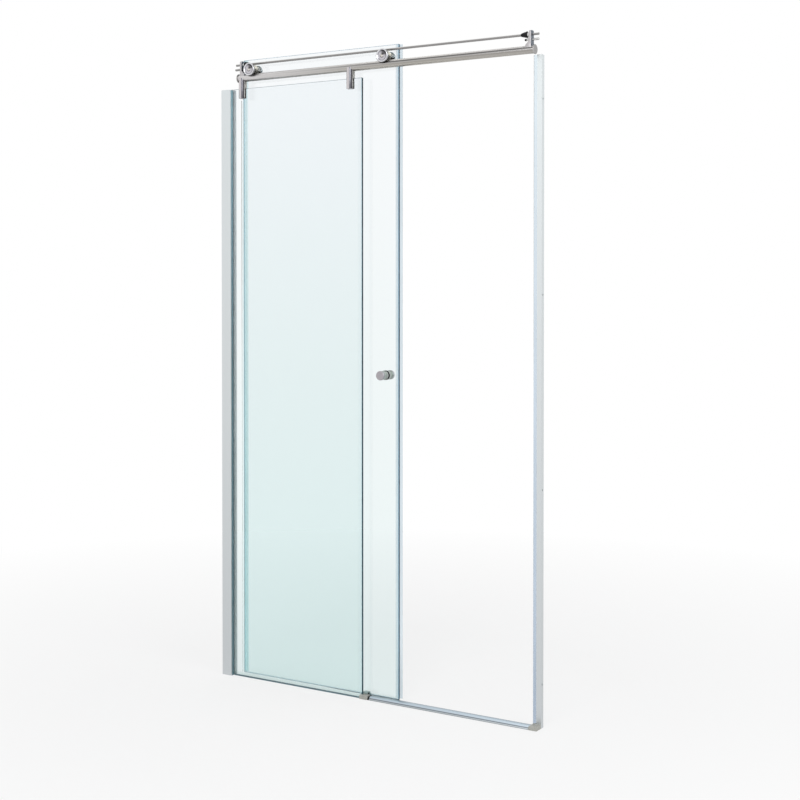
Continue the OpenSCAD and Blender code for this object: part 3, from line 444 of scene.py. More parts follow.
def float_glass(name, colours, edge, band, foot=()):
    """Float glass: faces pale, their tint made stronger toward the floor by painted shade, ground edges
    blue-green.

    band is painted shade beside an upright edge, as a span of X in metres and its stops, and
    foot the stops of a painted reflection, the line where the pane mirrors its bead, below the lowest tint.
    """
    f = Finish(name, Transmission_Weight=1.0, Roughness=0.0, IOR=1.5)
    low, mid = colours.glass_low, colours.glass_mid
    thigh = scaled(np.add(tuple(low), tuple(mid)), 0.494)
    height = [(0.02, low), (0.98, colours.glass_high), (0.26, thigh), (0.5, mid), *foot]
    face = f.product(f.toned(f.place("Z", *DOOR_HEIGHT), height), f.toned(f.place("X", *band[0]), band[1]))
    up = f.toned(f.facing(UP), greys((0.02, 1), (0.2, 0), (0.8, 0), (0.98, 1)))
    flat = f.toned(f.facing(BACK), greys((0.02, 1), (0.1, 0), (0.9, 0), (0.98, 1)))
    ground = f.node("Mix", {MIX_A: (*edge, 1), MIX_B: (*colours.glass_rim, 1)}, data_type="RGBA")
    f.link(*up, ground, "Factor")
    pane = f.node("Mix", data_type="RGBA")
    f.link(*flat, pane, "Factor")
    f.link(ground, MIX_OUT, pane, MIX_A)
    f.link(*face, pane, MIX_B)
    f.tint((pane, MIX_OUT))
    f.link(f.spread(*flat, 0.5, 0.0, 0.0, 1.0), "Result", f.shader, "Roughness")
    return f.mat


def clear_vinyl(name, colour, roughness, foot=(1.0, 1.0, 1.0), head=(1.0, 1.0, 1.0)):
    """Clear flexible vinyl: slightly cloudy along its length, with painted shade graded from foot to head."""
    f = Finish(name, Transmission_Weight=1.0, IOR=1.05)
    n = f.noise(24, (1, 1, 0.15), 3.0)
    return f.finished([f.mottled(n, scaled(colour, 0.95), colour),
                       f.toned(f.place("Z", *DOOR_HEIGHT), [(0.05, foot), (0.95, head)])], n, roughness)


def ribbed_metal(name, colour, front_edge, back_edge):
    """Satin threshold: painted shade in grey stripes, a painted paler blue lit top and a painted shadow line
    along its back edge.
    """
    f = Finish(name, Metallic=1.0)
    n = f.noise(BRUSH_GRAIN, (0.01, 1, 1), 6.0, 0.7)
    return f.finished([f.mottled(n, *around(colour, 0.05)),
                       f.toned(f.place("Y", front_edge, back_edge), SILL_PAINTED_LIGHT)], n, (0.34, 0.44), 0.00003)


# ---------------------------------------------------------------- tones

# Painted shade and highlights on the tube and rod by how far they face up, from 0 (down) to 1 (up), near the
# left end and the right: a dark underside, a pale crown and reflected streaks in warm and cool greys
TUBE_PAINTED_LIGHT_NEAR = greys((0.0, 0.06), (0.03, 0.08), (0.06, 1.25), (0.16, 1.3), (0.3, 1.16), (0.48, 1.22),
                  (0.6, 1.14), (0.75, 1.38), (0.87, 1.06), (1.0, 1.25))
WARM, COOL = (1.03, 1.0, 0.95), (1.0, 0.99, 0.99)
TUBE_PAINTED_LIGHT_FAR = [(at, scaled(WARM if at < 0.42 else COOL, level)) for at, level in (
    (0.0, 1.0), (0.11, 1.26), (0.25, 1.1), (0.33, 0.88), (0.4, 0.84), (0.47, 1.08), (0.54, 0.92),
    (0.61, 0.36), (0.69, 0.34), (0.76, 1.1), (0.81, 1.85), (1.0, 2.1))]
ROD_PAINTED_LIGHT = greys((0.0, 0.8), (0.3, 0.72), (0.6, 0.68), (0.8, 1.4), (1.0, 2.1))
# Painted light along the tube, from the left wall to the right: lighter at the left, darker toward the right
TUBE_PAINTED_LIGHT_ALONG = [(0.0, (1.32, 1.31, 1.33)), (0.4, (1.08, 1.08, 1.06)), (0.62, (1.0, 1.0, 0.98)),
              (1.0, (0.9, 0.9, 0.9))]
# Painted shade and highlights on bars, plates and end caps by how far they face right
BAR_PAINTED_LIGHT = [(0.0, (1.1, 1.1, 1.1)), (0.1, (1.5, 1.45, 1.5)), (0.55, (1.55, 1.5, 1.55)),
             (0.62, (0.48, 0.49, 0.54)), (0.74, (0.42, 0.43, 0.49)), (0.78, (0.14, 0.14, 0.16)),
             (0.92, (0.14, 0.14, 0.15)), (0.955, (0.8, 0.8, 0.76)), (1.0, (0.9, 0.9, 0.86))]
PLATE_PAINTED_LIGHT = [(0.0, (1.0, 1.0, 1.0)), (0.3, (1.15, 1.12, 1.16)), (0.5, (1.3, 1.28, 1.32)),
               (0.7, (1.0, 1.0, 1.05)), (0.9, (0.48, 0.53, 0.60)), (1.0, (0.36, 0.42, 0.50))]
CAP_PAINTED_LIGHT = greys((0.0, 0.9), (0.6, 1.2), (1.0, 0.8))
# Painted light on the wall profile and joints, darker low and lighter upward from the floor, and on the
# threshold from the front edge to the back: shaded bands, a pale lit top and a painted shadow along the back
# edge
PROFILE_PAINTED_LIGHT = [(0.0, (0.92, 0.92, 0.93)), (0.5, (1.03, 1.03, 1.03)), (1.0, (1.12, 1.13, 1.13))]
GASKET_PAINTED_LIGHT = [(0.0, (1, 1, 1)), (0.55, (1, 1, 1)), (0.75, (1.4, 1.4, 1.45)), (0.97, (2.2, 2.1, 2.05))]
SILL_PAINTED_LIGHT = [(0.0, (0.52, 0.49, 0.46)), (0.035, (0.95, 0.90, 0.84)), (0.09, (1.0, 0.94, 0.86)),
               (0.11, (0.42, 0.41, 0.41)), (0.17, (0.42, 0.41, 0.41)), (0.2, (1.12, 1.12, 1.1)),
               (0.36, (1.2, 1.22, 1.2)), (0.45, (0.98, 1.02, 1.02)), (0.9, (0.78, 0.78, 0.76)),
               (1.0, (0.5, 0.52, 0.5))]
# Painted shade on the glass beside the upright edge of each pane; on the fixed pane also the edge's dark teal
# line painted onto the face
FIXED_EDGE_PAINTED_SHADE = [(0.0, (1, 1, 1)), (0.35, (0.96, 0.97, 0.975)), (0.8, (0.93, 0.955, 0.96)),
              (0.9, (0.74, 0.84, 0.87)), (0.92, (0.36, 0.48, 0.54)), (1.0, (0.3, 0.42, 0.5))]
DOOR_EDGE_PAINTED_SHADE = [(0.0, (1, 1, 1)), (0.7, (0.99, 0.995, 1)), (1.0, (0.92, 0.95, 0.97))]
# Painted highlight and shade rings on turned faces, outward from the centre of the disc, and from the knob's
# end to its foot
DISC_PAINTED_RINGS = [(0.0, (1.3, 1.24, 1.12)), (0.18, (1.1, 1.05, 0.98)), (0.27, (0.42, 0.40, 0.42)),
              (0.34, (0.84, 0.81, 0.84)), (0.58, (0.9, 0.87, 0.91)), (0.7, (0.36, 0.36, 0.39)),
              (0.78, (1.25, 1.24, 1.27)), (0.92, (1.4, 1.4, 1.41)), (1.0, (0.7, 0.7, 0.72))]
KNOB_PAINTED_RINGS = [(0.0, (1.12, 1.1, 1.12)), (0.26, (1.12, 1.1, 1.12)), (0.3, (1.0, 1.04, 1.04)),
              (0.46, (1.1, 1.17, 1.12)), (0.52, (0.66, 0.78, 0.66)), (0.62, (1.3, 1.45, 1.3)),
              (0.72, (0.9, 1.02, 0.9)), (0.82, (1.6, 1.7, 1.6)), (0.88, (2.1, 2.15, 2.1))]
# Painted shade and highlights: directions and levels by how far discs, wheels, hubs and caps face them, and
# levels over one turn for a painted reflection on the disc and a painted dark spot on the bush flange
DISC_PAINTED_SHADE = (-0.62, 0.0, -0.62), [(0.0, 1.15), (0.5, 1.0), (0.58, 0.9), (0.63, 0.2), (1.0, 0.08)]
DISC_PAINTED_REFLECTION = [(0.0, 1.1), (0.3, 1.2), (0.5, 1.05), (0.62, 1.3), (0.7, 0.9), (0.77, 0.3), (0.93, 0.25),
             (0.97, 0.9)]
WHEEL_PAINTED_SHADE = (0.5, 0.0, -0.86), [(0.0, 1.0), (0.5, 1.0), (0.62, 0.6), (0.72, 0.12), (1.0, 0.05)]
HUB_PAINTED_LIGHT = UP, [(0.0, 0.6), (0.15, 0.4), (0.24, 0.05), (0.4, 0.04), (0.46, 0.6), (0.52, 1.2), (0.8, 1.5),
                (1.0, 1.7)]
REAR_CAP_PAINTED_LIGHT = UP, [(0.0, 0.5), (0.5, 0.8), (0.7, 1.1), (1.0, 1.6)]
FLANGE_PAINTED_SHADE = [(0.0, 0.8), (0.03, 0.05), (0.13, 0.03), (0.17, 0.7), (0.3, 1.0), (1.0, 1.0)]


# ---------------------------------------------------------------- settings


def colour_prop(name, description, value):
    return bpy.props.FloatVectorProperty(name=name, description=description, default=value, size=3,
                                         min=0.0, max=1.0, subtype="COLOR")


def length_prop(name, description, value, low, high):
    return bpy.props.FloatProperty(name=name, description=description, default=value * MM,
                                   min=low * MM, max=high * MM, unit="LENGTH", subtype="DISTANCE")


def power_prop(name, description, value):
    return bpy.props.FloatProperty(name=name, description=description, default=value,
                                   min=0.0, max=400.0, unit="POWER")


def angle_prop(name, description, value, reach):
    return bpy.props.FloatProperty(name=name, description=description, default=value,
                                   min=-reach, max=reach, unit="ROTATION", subtype="ANGLE")


class ShowerDoorSizes(bpy.types.PropertyGroup):
    ease: length_prop("Edge rounding", "Rounding on machined and moulded edges", 0.5, 0.1, 1.0)
    ring_depth: length_prop("Knob groove depth", "Depth of the groove round the knob's head", 0.5, 0.1, 1.0)
    rib_pitch: length_prop("Threshold rib pitch", "Distance between the threshold's fine ribs", 2.4, 1.5, 4.0)
    seal_wall: length_prop("Seal wall", "Wall thickness of the vinyl seals", 1.0, 0.8, 1.2)
    turns: bpy.props.IntProperty(name="Turned facets", description="Steps round a turned part",
                                 default=72, min=24, max=128)


class ShowerDoorColours(bpy.types.PropertyGroup):
    # The panes' real pale tint, made stronger toward the floor by painted shade
    glass_high: colour_prop("Glass, upper", "Tint of the panes near the header", (0.935, 0.957, 0.970))
    glass_mid: colour_prop("Glass, middle", "Tint of the panes at half height", (0.876, 0.932, 0.934))
    glass_low: colour_prop("Glass, lower", "Tint of the panes near the floor", (0.850, 0.940, 0.936))
    glass_edge: colour_prop("Glass edge", "Blue of the ground upright edges", (0.10, 0.42, 0.75))
    glass_rim: colour_prop("Glass rim", "Pale tint of the top and bottom edges", (0.52, 0.62, 0.66))
    aluminium: colour_prop("Satin aluminium", "Wall profile and strike", (0.66, 0.69, 0.70))
    threshold: colour_prop("Threshold", "Satin aluminium near the floor", (0.47, 0.54, 0.61))
    steel: colour_prop("Brushed steel", "Header tube, rod and brackets", (0.41, 0.402, 0.397))
    bright: colour_prop("Bright steel", "Turned shanks and screws", (0.62, 0.62, 0.61))
    chrome: colour_prop("Chrome", "Roller discs and hubs", (0.55, 0.55, 0.56))
    nickel: colour_prop("Satin nickel", "Knobs", (0.38, 0.366, 0.38))
    rubber: colour_prop("Rubber", "Cones, bumpers, rings and liners", (0.004, 0.004, 0.0045))
    nylon: colour_prop("Nylon", "Wheels and guide pads", (0.96, 0.93, 0.81))
    block: colour_prop("Block", "Guide cover and end block", (0.42, 0.42, 0.385))
    guide: colour_prop("Door guide", "Upright, plate and jaw of the floor guide", (0.30, 0.40, 0.39))
    gasket: colour_prop("Gasket", "Dark blue-green joints", (0.13, 0.23, 0.27))
    vinyl: colour_prop("Vinyl", "Clear seal on the closing edge and the strike", (0.87, 0.92, 0.95))
    vinyl_rear: colour_prop("Rear vinyl", "Clear channel on the door's rear edge", (0.79, 0.915, 0.925))


class ShowerDoorStudio(bpy.types.PropertyGroup):
    key_power: power_prop("Front lamp", "Power of the large front lamp", 70.0)
    fill_power: power_prop("Side lamp", "Power of the side lamp", 35.0)
    sky: bpy.props.FloatProperty(name="Sky level", description="Soft light from all round",
                                 default=0.6, min=0.0, max=1.5)
    lens: bpy.props.FloatProperty(name="Lens", description="Focal length on a 36 mm sensor",
                                  default=62.818, min=20.0, max=200.0, unit="CAMERA")
    turn: angle_prop("Camera turn", "Heading of the camera about the upright axis", 0.555771, 3.2)
    dip: angle_prop("Camera dip", "How far the camera looks down", 0.016064, 1.5)
    place: bpy.props.FloatVectorProperty(name="Camera place", description="Where the camera stands", size=3,
                                         default=(2.455184, -3.775221, 1.333573), unit="LENGTH",
                                         subtype="TRANSLATION")


# ---------------------------------------------------------------- operators


def sizes_in_mm(context):
    """Lengths of the sidebar's sizes in millimetres."""
    sizes = context.scene.door_sizes
    return {key: getattr(sizes, key) / MM for key in ("ease", "ring_depth", "rib_pitch", "seal_wall")}


def lying(node):
    """Height of the axis and radius of a round node that lies along X."""
    lo, hi = box(node)
    return (lo[2] + hi[2]) / 2, (hi[2] - lo[2]) / 2


def facing_room(node):
    """Centre in X and Z, radius, front and back of a round node whose axis lies along Y."""
    lo, hi = box(node)
    return (lo[0] + hi[0]) / 2, (lo[2] + hi[2]) / 2, (hi[2] - lo[2]) / 2, lo[1], hi[1]


class SHOWERDOOR_OT_finishes(bpy.types.Operator):
    """Makes the materials that all pieces share"""
    bl_idname = "showerdoor.finishes"
    bl_label = "Finishes"
    bl_options = {"REGISTER", "UNDO"}

    def execute(self, context):
        c = context.scene.door_colours
        sill_lo, sill_hi = box("threshold")
        fixed_edge, door_edge = box("fixed_glass")[1][0] * MM, box("door_glass")[1][0] * MM
        # Painted reflection of the fixed pane's bead: a darker line low on the pane
        bead_reflection = scaled(c.glass_low, (0.8, 0.87, 0.86))
        foot = [(0.0026, c.glass_low), (0.003, bead_reflection), (0.0041, bead_reflection), (0.0046, c.glass_low)]
        FINISH.update(
            # The fixed pane's ground edge is a darker copy of the door's edge colour: painted shade
            glass=float_glass("fixed float glass", c, scaled(c.glass_edge, (0.3, 0.36, 0.33)),
                              ((fixed_edge - 0.02, fixed_edge), FIXED_EDGE_PAINTED_SHADE), foot),
            door_glass=float_glass("door float glass", c, c.glass_edge,
                                   ((door_edge - 0.01, door_edge), DOOR_EDGE_PAINTED_SHADE)),
            aluminium=brushed("satin anodised aluminium", c.aluminium, "Z", (0.42, 0.52), contrast=0.04,
                              grade=(("Z", 0.0, 2.0), PROFILE_PAINTED_LIGHT)),
            threshold=ribbed_metal("satin anodised threshold", c.threshold, sill_lo[1] * MM, sill_hi[1] * MM),
            tube=brushed("brushed steel tube", c.steel, "X", (0.26, 0.36), (UP, TUBE_PAINTED_LIGHT_NEAR), far=TUBE_PAINTED_LIGHT_FAR,
                         grade=(("X", -0.55, 0.6), TUBE_PAINTED_LIGHT_ALONG)),
            rod=brushed("brushed steel rod", c.steel, "X", (0.26, 0.36), (UP, ROD_PAINTED_LIGHT)),
            steel=brushed("brushed steel plate", c.steel, "Z", (0.28, 0.38), (RIGHT, PLATE_PAINTED_LIGHT)),
            cap=brushed("brushed steel cap", scaled(c.steel, 1.1), "Z", (0.28, 0.38), (RIGHT, CAP_PAINTED_LIGHT)),
            bar=brushed("brushed steel bar", c.steel, "Z", (0.22, 0.30), (RIGHT, BAR_PAINTED_LIGHT), 0.06),
            bright=turned("bright turned steel", c.bright, (0.14, 0.22)),
            disc=turned("dished chrome disc", c.chrome, (0.07, 0.14), 0.06, DISC_PAINTED_RINGS, 0.0235, DISC_PAINTED_SHADE,
                        (DISC_PAINTED_REFLECTION, 0.0169)),
            chrome=turned("polished chrome", c.chrome, (0.05, 0.10), 0.04, lean=HUB_PAINTED_LIGHT),
            rear_chrome=turned("chrome behind the glass", (0.40, 0.45, 0.47), (0.08, 0.16), 0.04,
                               lean=REAR_CAP_PAINTED_LIGHT),
            nickel=turned("satin turned nickel", c.nickel, (0.24, 0.34), 0.12, KNOB_PAINTED_RINGS, 0.052),
            rubber=moulded("black rubber", c.rubber, (1, 1.9), (0.5, 0.7), Specular_IOR_Level=0.22),
            black_steel=moulded("black oxide steel", c.rubber, (1.4, 2.4), (0.3, 0.45)),
            nylon=moulded("cream nylon", c.nylon, (0.94, 1.05), (0.28, 0.4), WHEEL_PAINTED_SHADE),
            block=moulded("beige grey moulding", c.block, (0.92, 1.06), (0.38, 0.5)),
            guide=moulded("green grey moulding", c.guide, (0.92, 1.06), (0.3, 0.42)),
            gasket=moulded("glazing gasket", c.gasket, (0.85, 1), (0.4, 0.6), grade=GASKET_PAINTED_LIGHT),
            foot=moulded("foot bead", c.gasket, (0.7, 0.9), (0.45, 0.6)),
            pale_strip=moulded("pale glazing strip", (0.95, 0.9725, 0.9775),
                               ((0.979, 0.987, 0.992), (1.021, 1.013, 1.008)), (0.4, 0.5)),
            flange=moulded("white nylon flange", (0.895, 0.905, 0.885), (0.96, 1.04), (0.28, 0.4),
                           sector=(FLANGE_PAINTED_SHADE, 1.0)),
            vinyl=clear_vinyl("clear vinyl", scaled(c.vinyl, 0.97), (0.04, 0.12)),
            # Strike and rear vinyl: painted shade, darker at the foot than the head
            strike=clear_vinyl("clear strike vinyl", c.vinyl, (0.04, 0.12), (0.8, 0.82, 0.87),
                               (1.03, 1.03, 1.03)),
            vinyl_rear=clear_vinyl("aqua clear vinyl", c.vinyl_rear, (0.04, 0.12), (0.98, 0.985, 0.985),
                                   (1.08, 1.03, 1.03)),
            lip=clear_vinyl("clear vinyl lip", (0.95, 0.98, 0.98), (0.03, 0.08)),
        )
        return {"FINISHED"}


class SHOWERDOOR_OT_panes(bpy.types.Operator):
    """Finishes both glass panes, their channel, cap, gaskets and hidden fixings"""
    bl_idname = "showerdoor.panes"
    bl_label = "Glass and wall profile"
    bl_options = {"REGISTER", "UNDO"}

    def execute(self, context):
        dress("glass", "fixed_glass")
        dress("door_glass", "door_glass")
        dress("aluminium", "wall_profile", "glazing_channel", "profile_cap", "strike_profile")
        dress("foot", "glass_foot_seal")
        dress("bright", "clamp_studs", "roller_axle_left", "roller_axle_right", "knob_stud",
              "bearing_inner_left", "bearing_inner_right", "bearing_outer_left", "bearing_outer_right")
        dress("rubber", "clamp_liners", "threshold_gasket")
        pane = box("fixed_glass")[1][1]
        lo, hi = box("glazing_gaskets")
        lip, outer = hi[0] - 1.8, hi[1]
        wedge = np.array([(lip - 11, pane), (lip - 9, outer - 0.5), (lip - 2.5, outer - 0.5),
                          (lip - 2.5, outer - 1.5), (lip, outer - 1.5), (lip, outer), (lip + 0.5, outer - 0.4),
                          (lip + 0.9, outer - 4.5), (lip + 0.6, pane)])
        for name, side, gap, finish, slot in (("front_wedge", -1, 0, "gasket", "teal_gasket"),
                                              ("rear_wedge", 1, 0.15, "pale_strip", "clear_vinyl")):
            outline = eased(wedge * (1, side) + (0, gap), [0.3, 0.3, 0, 0, 0, 0.3, 0.8, 0.8, 0.3], 4)
            strand = drawn(outline, "Z", lo[2], hi[2], (0.1, 0.1))
            piece(name, [strand], "frame", finish, ["glazing_gaskets"])
        lo, hi = box("profile_screws")
        head, shank, front, back = 3.6, 1.9, hi[1], lo[1]
        profile_top = box("wall_profile")[1][2]
        screw = [(0, front - 2.2, 1), (1.5, front - 2.2, 1), (1.5, front - 0.2, 1), (2.3, front, 0),
                 (3.3, front - 0.9, 0), (head, front - 2, 0), (shank, front - 2, 0), (shank, back + 0.8, 0),
                 (1.2, back, 0), (0, back, 0)]
        screws = [spun(screw, 0.15, (lo[0] + head, 0, profile_top * height), steps=3)
                  for height in (0.08, 0.5, 0.92)]
        piece("pan_head_screws", screws, "frame", "bright", ["profile_screws"])
        return {"FINISHED"}


class SHOWERDOOR_OT_header(bpy.types.Operator):
    """Turns the header tube with its caps, the anti-lift rod and the two stop bolts"""
    bl_idname = "showerdoor.header"
    bl_label = "Header tube and rods"
    bl_options = {"REGISTER", "UNDO"}

    def execute(self, context):
        e = sizes_in_mm(context)["ease"]
        lo, hi = box("header_tube")
        z, r = lying("header_tube")
        bore = r - TUBE_WALL
        tube = spun([(r, lo[0]), (r, hi[0]), (bore, hi[0]), (bore, lo[0])], e * 0.4,
                    (0, 0, z), "X", 96, 3, True)
        piece("drawn_tube", [tube], "frame", "tube", ["header_tube"])
        for side, s in SIDES:
            lo, hi = box("tube_cap_" + side)
            face, deep = (lo[0], hi[0]) if s > 0 else (hi[0], lo[0])
            seat, rim, plug = face + s * 2.5, (hi[2] - lo[2]) / 2, bore - 3
            cap = spun([(0, face + s * 0.3), (rim - 5, face + s * 0.3), (rim - 4, face), (rim, face),
                        (rim, seat), (bore, seat), (bore, deep), (plug, deep), (plug, seat), (0, seat)],
                       [0, 0.5, 0.5, 0.9, 0.5, 0, 0.6, 0.3, 0, 0], (0, 0, z), "X", 96)
            piece("tube_end_" + side, [cap], "frame", "cap", ["tube_cap_" + side])
        lo, hi = box("anti_lift_rod")
        z, r = lying("anti_lift_rod")
        neck, neck_r = hi[0] - WALL_NECK, r - 0.25
        rod = spun([(0, lo[0]), (r, lo[0]), (r, neck), (neck_r, neck), (neck_r, hi[0]), (0, hi[0])],
                   [0, 0.9, 0.1, 0, 0.4, 0], (0, 0, z), "X", 48)
        piece("lift_guard_rod", [rod], "frame", "rod", ["anti_lift_rod"])
        lo, hi = box("stop_bolt_left")
        z, r = lying("stop_bolt_left")
        shoulder = hi[0] - TIP_LENGTH
        bolt = spun([(0, lo[0] + 4, 1), (2.3, lo[0] + 4, 1), (2.3, lo[0] + 0.1, 1), (2.7, lo[0], 0),
                     (r, lo[0], 0), (r, shoulder, 0), (TIP_R, shoulder, 0), (TIP_R, hi[0], 0), (0, hi[0], 0)],
                    [0, 0, 0.1, 0.1, 0.8, 0.2, 0, 0, 0], (0, 0, z), "X", 48, 4)
        piece("stop_stud_left", [bolt], "frame", "rod", ["stop_bolt_left"])
        lo, hi = box("stop_bolt_right")
        neck, neck_r, shoulder = hi[0] - WALL_NECK, r - 0.25, lo[0] + TIP_LENGTH
        bolt = spun([(0, lo[0]), (TIP_R, lo[0]), (TIP_R, shoulder), (r, shoulder), (r, neck), (neck_r, neck),
                     (neck_r, hi[0]), (0, hi[0])], [0, 0, 0, 0.2, 0.1, 0, 0.4, 0], (0, 0, z), "X", 48, 4)
        piece("stop_stud_right", [bolt], "frame", "bright", ["stop_bolt_right"])
        return {"FINISHED"}


class SHOWERDOOR_OT_brackets(bpy.types.Operator):
    """Builds both end brackets, their saddles on the tube and the black set screws"""
    bl_idname = "showerdoor.brackets"
    bl_label = "End brackets"
    bl_options = {"REGISTER", "UNDO"}

    def execute(self, context):
        e = sizes_in_mm(context)["ease"]
        tube_z, tube_r = lying("header_tube")
        plate_t, plate_half, saddle_half, run, lift = 7.0, 10.0, 11.0, 12.0, 1.0
        crest = tube_z + tube_r + lift
        bend = np.linspace(0, math.pi / 2, 4)
        start, end = 0.5 * (1 - np.cos(bend)), 0.5 * (1 - np.sin(bend))
        width = np.concatenate([start - saddle_half, np.linspace(-10, 10, 15), saddle_half - start[::-1]])
        shrink = np.concatenate([end, np.zeros(15), end[::-1]]) / 14
        under_z = tube_z + np.sqrt(tube_r**2 - width**2)[:, None] - SEAT_OVERLAP
        screws = []
        for side, s in SIDES:
            lo, hi = box("end_bracket_" + side)
            outer = lo[0] if s > 0 else hi[0]
            root = outer + s * plate_t
            crown = eased([(plate_half, tube_z + 10), (plate_half, hi[2]), (-plate_half, hi[2]),
                           (-plate_half, tube_z + 10)], [0, 6, 6, 0], 10)
            plate = drawn(crown, "X", *sorted((outer, root)), (e, e))
            inset = outer + s * 0.2
            ridge = eased([(inset, tube_z + 8), (inset, crest + run), (root, crest + run),
                           (root + s * run, crest), (root + s * run, tube_z + 8)],
                          [0, 0.6, 0.8, 0.8, 0], 5, False)
            centre = np.array([(outer + root + s * run) / 2, crest + 2])
            upper = ridge[None] + (centre - ridge)[None] * shrink[:, None, None]
            upper[..., 1] = np.maximum(upper[..., 1], under_z + 0.01)
            under_x = np.linspace(ridge[-1, 0], ridge[0, 0], 6)
            lower = np.stack(np.broadcast_arrays(under_x, under_z), -1)
            rings = placed(np.concatenate([upper, lower], 1), "Y", width[:, None])
            saddle = surface(rings, wrap_cols=True, caps=(0, -1))
            piece("bracket_" + side, [plate, saddle], "frame", "steel",
                  ["end_bracket_" + side])
            slope = (root + s * run / 2, 0, crest + run / 2)
            screws.append(spun([(0, -2.4, 1), (1.15, -2.4, 1), (1.15, -0.5, 1), (1.3, -0.35, 0),
                                (2.0, -0.35, 0), (2.0, -5, 0), (0, -5, 0)], 0.15, slope, (s, 0, 1), 48, 3))
        piece("saddle_screws", screws, "frame", "black_steel", ["bracket_grub_screws"])
        return {"FINISHED"}


class SHOWERDOOR_OT_soft_stops(bpy.types.Operator):
    """Turns the rubber cones, their collars and the rubber bumpers"""
    bl_idname = "showerdoor.soft_stops"
    bl_label = "Soft stops"
    bl_options = {"REGISTER", "UNDO"}

    def execute(self, context):
        z, r = lying("anti_lift_rod")
        collar_l, collar_r = 9, 6.5
        collars, bumpers = [], []
        for side, s in SIDES:
            lo, hi = box("stop_cone_" + side)
            base, tip = (lo[0], hi[0]) if s > 0 else (hi[0], lo[0])
            big = (hi[2] - lo[2]) / 2
            cone = spun([(r, base), (big - 0.4, base), (big, base + s * 1.2), (big - 0.4, base + s * 2.6),
                         (r + 1.3, tip - s * 1.2), (r + 0.7, tip), (r, tip)],
                        [0, 0.6, 0.8, 1.2, 1.0, 0.4, 0], (0, 0, z), "X", 64, 6, True)
            piece("rubber_cone_" + side, [cone], "frame", "rubber", ["stop_cone_" + side])
            start, mid = base - s * collar_l, base - s * collar_l / 2
            collars.append(spun([(r, start), (collar_r, start), (collar_r, mid - s * 0.5),
                                 (collar_r - 0.5, mid), (collar_r, mid + s * 0.5), (collar_r, base), (r, base)],
                                [0, 0.7, 0.1, 0.1, 0.1, 0.7, 0], (0, 0, z), "X", 64, 5, True))
        z, r = lying("bolt_bumpers")
        seats = box("stop_bolt_left")[1][0] - TIP_LENGTH, box("stop_bolt_right")[0][0] + TIP_LENGTH
        for seat, (_, s) in zip(seats, SIDES):
            end, tip = seat + s * 7, seat + s * TIP_LENGTH
            bumpers.append(spun([(TIP_R, seat), (r, seat), (r, end), (0, end), (0, tip), (TIP_R, tip)],
                                [0, 0.5, 3.2, 0, 0, 0], (0, 0, z), "X", 48, 8, True))
        piece("rod_clamp_collars", collars, "frame", "bright", ["rod_collars"])
        piece("stud_bumpers", bumpers, "frame", "rubber", ["bolt_bumpers"])
        return {"FINISHED"}


class SHOWERDOOR_OT_clamps(bpy.types.Operator):
    """Builds the round slotted bars that hang the fixed pane from the tube"""
    bl_idname = "showerdoor.clamps"
    bl_label = "Glass clamps"
    bl_options = {"REGISTER", "UNDO"}

    def execute(self, context):
        e = sizes_in_mm(context)["ease"]
        tube_z, tube_r = lying("header_tube")
        slot_half, shelf = 5.0, box("fixed_glass")[1][2] + 1
        screw_lo, screw_hi = box("clamp_set_screws")
        screw_y = (screw_lo[1] + screw_hi[1]) / 2
        screw_z, screw_r = lying("clamp_set_screws")
        ring = arc(0, 0, 1, 0, 360, 97)[:-1]
        screws = []
        for side, _ in SIDES:
            lo, hi = box("clamp_" + side)
            x, r = (lo[0] + hi[0]) / 2, (hi[0] - lo[0]) / 2
            angle = math.degrees(math.asin(slot_half / r))
            half = arc(x, 0, r, angle, 180 - angle, 37)
            shells = [drawn(half * (1, s), "Z", lo[2], shelf, (e * 1.4, 0.0)) for s in (1, -1)]
            radii = np.concatenate([[r, r], np.linspace(r, 0, 9)[1:]])
            flat = np.array([x, 0]) + ring[None] * radii[:, None, None]
            lift = tube_z - np.sqrt(np.maximum(tube_r**2 - flat[..., 1] ** 2, 0)) - SEAT_OVERLAP
            lift[0] = shelf
            shells.append(surface(placed(flat, "Z", lift), wrap_cols=True, caps=(0,)))
            piece("slotted_bar_" + side, shells, "frame", "bar", ["clamp_" + side])
            reach = x + math.sqrt(r**2 - (abs(screw_y) + screw_r) ** 2) - 0.3
            screws.append(spun([(0, reach - 2, 1), (1.2, reach - 2, 1), (1.2, reach - 0.1, 1), (1.4, reach, 0),
                                (screw_r, reach, 0), (screw_r, x + 1, 0), (0, x + 1, 0)], 0.2,
                               (0, screw_y, screw_z), "X", 48, 3))
        piece("clamp_grub_screws", screws, "frame", "black_steel", ["clamp_set_screws"])
        return {"FINISHED"}


